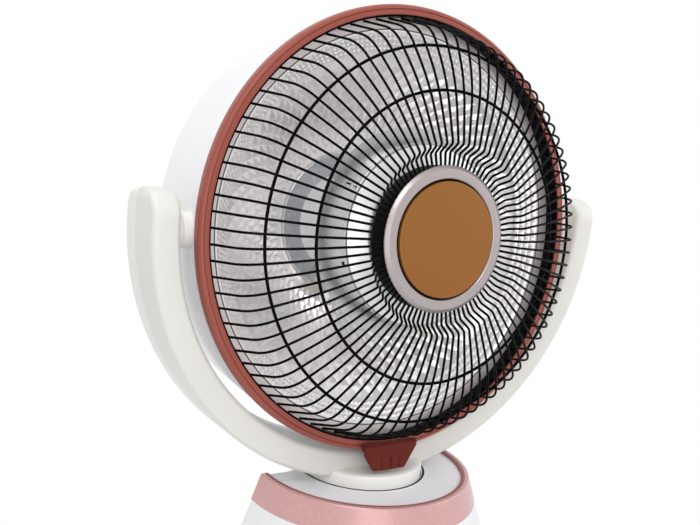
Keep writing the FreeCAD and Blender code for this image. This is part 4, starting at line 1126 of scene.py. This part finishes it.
# Studio: a pale floor that fades out a step from the base, four soft lamps and the camera
# of the photograph, given by its place, its turn, its lean and its roll.
floor_reach = 900.0
floor_full = 138.0
floor_none = 210.0
floor_level = -0.2
paper, paper_tree, paper_shader = finish("white_studio_paper", base_color=linear("#F4F4F4"),
                                         roughness=0.9)
paper_place = add(paper_tree, "ShaderNodeTexCoord").outputs["Object"]
paper_reach = add(paper_tree, "ShaderNodeVectorMath", {"operation": "LENGTH"},
                  links={0: paper_place})
paper_fade = add(paper_tree, "ShaderNodeMapRange", {"interpolation_type": "SMOOTHSTEP"},
                 {1: floor_full / 1000, 2: floor_none / 1000, 3: 1.0, 4: 0.0},
                 {0: paper_reach.outputs["Value"]})
paper_tree.links.new(paper_fade.outputs[0], paper_shader.inputs["Alpha"])
floor_rings = np.array([[0.0], [floor_full], [floor_none], [floor_reach]])
floor_grid = upright(np.linspace(0, 2 * np.pi, 97)[None, :], floor_rings, floor_level)
floor = meshed("studio_floor", paper, [floor_grid], sheet=True)

world = bpy.data.worlds.new("white_studio")
world.use_nodes = True
bpy.context.scene.world = world
sky = world.node_tree
sky_rays = add(sky, "ShaderNodeLightPath").outputs
sky_shown = sky_rays["Is Camera Ray"]
for ray in ("Is Glossy Ray", "Is Transmission Ray"):
    sky_shown = add(sky, "ShaderNodeMath", {"operation": "MAXIMUM"},
                    links={0: sky_shown, 1: sky_rays[ray]}).outputs[0]
sky_light = add(sky, "ShaderNodeBackground", values={"Color": linear("#FFFFFF"), "Strength": 0.76})
sky_white = add(sky, "ShaderNodeBackground", values={"Color": linear("#FFFFFF"), "Strength": 1.0})
sky_mix = add(sky, "ShaderNodeMixShader",
              links={0: sky_shown, 1: sky_light.outputs[0], 2: sky_white.outputs[0]})
sky.links.new(sky_mix.outputs[0], sky.nodes["World Output"].inputs["Surface"])


def facing(spot, target, roll=0.0):
    """Turn and place of a lamp or camera that looks from a spot, in millimetres, at a target."""
    back = np.array(spot, float) - np.array(target, float)
    back = back / np.linalg.norm(back)
    right = np.cross((0, 0, 1), back)
    right = right / np.linalg.norm(right)
    up = np.cross(back, right)
    columns = np.stack([np.cos(roll) * right + np.sin(roll) * up,
                        np.cos(roll) * up - np.sin(roll) * right, back], 1)
    rows = [[*columns[row].tolist(), float(spot[row]) / 1000] for row in range(3)]
    return Matrix(rows + [[0, 0, 0, 1]])


lamp_target = (0, 0, 330)
for name, spot, size, power in (("key_lamp", (-700, -1000, 1700), 0.8, 9.0),
                                ("low_lamp", (-500, -1500, 400), 0.9, 4.0),
                                ("fill_lamp", (1500, -600, 900), 1.2, 4.0),
                                ("top_lamp", (-200, 700, 1900), 1.2, 4.0)):
    lamp = bpy.data.lights.new(name, "AREA")
    lamp.size = size
    lamp.energy = power
    lamp_object = bpy.data.objects.new(name, lamp)
    lamp_object.matrix_world = facing(spot, lamp_target)
    bpy.context.scene.collection.objects.link(lamp_object)

camera_spot = np.array([-504.0, -696.3, 520.6])
camera_turn = np.radians(-34.08)
camera_lean = np.radians(10.68)
camera_roll = np.radians(5.91)
camera_sight = np.array([-np.sin(camera_turn) * np.cos(camera_lean),
                         np.cos(camera_turn) * np.cos(camera_lean), -np.sin(camera_lean)])
camera = bpy.data.objects.new("photo_camera", bpy.data.cameras.new("photo_camera"))
camera.data.sensor_width = 36.0
camera.data.lens = 52.53
camera.matrix_world = facing(camera_spot, camera_spot + camera_sight, camera_roll)
bpy.context.scene.collection.objects.link(camera)
bpy.context.scene.camera = camera
bpy.context.scene.view_settings.view_transform = "Standard"
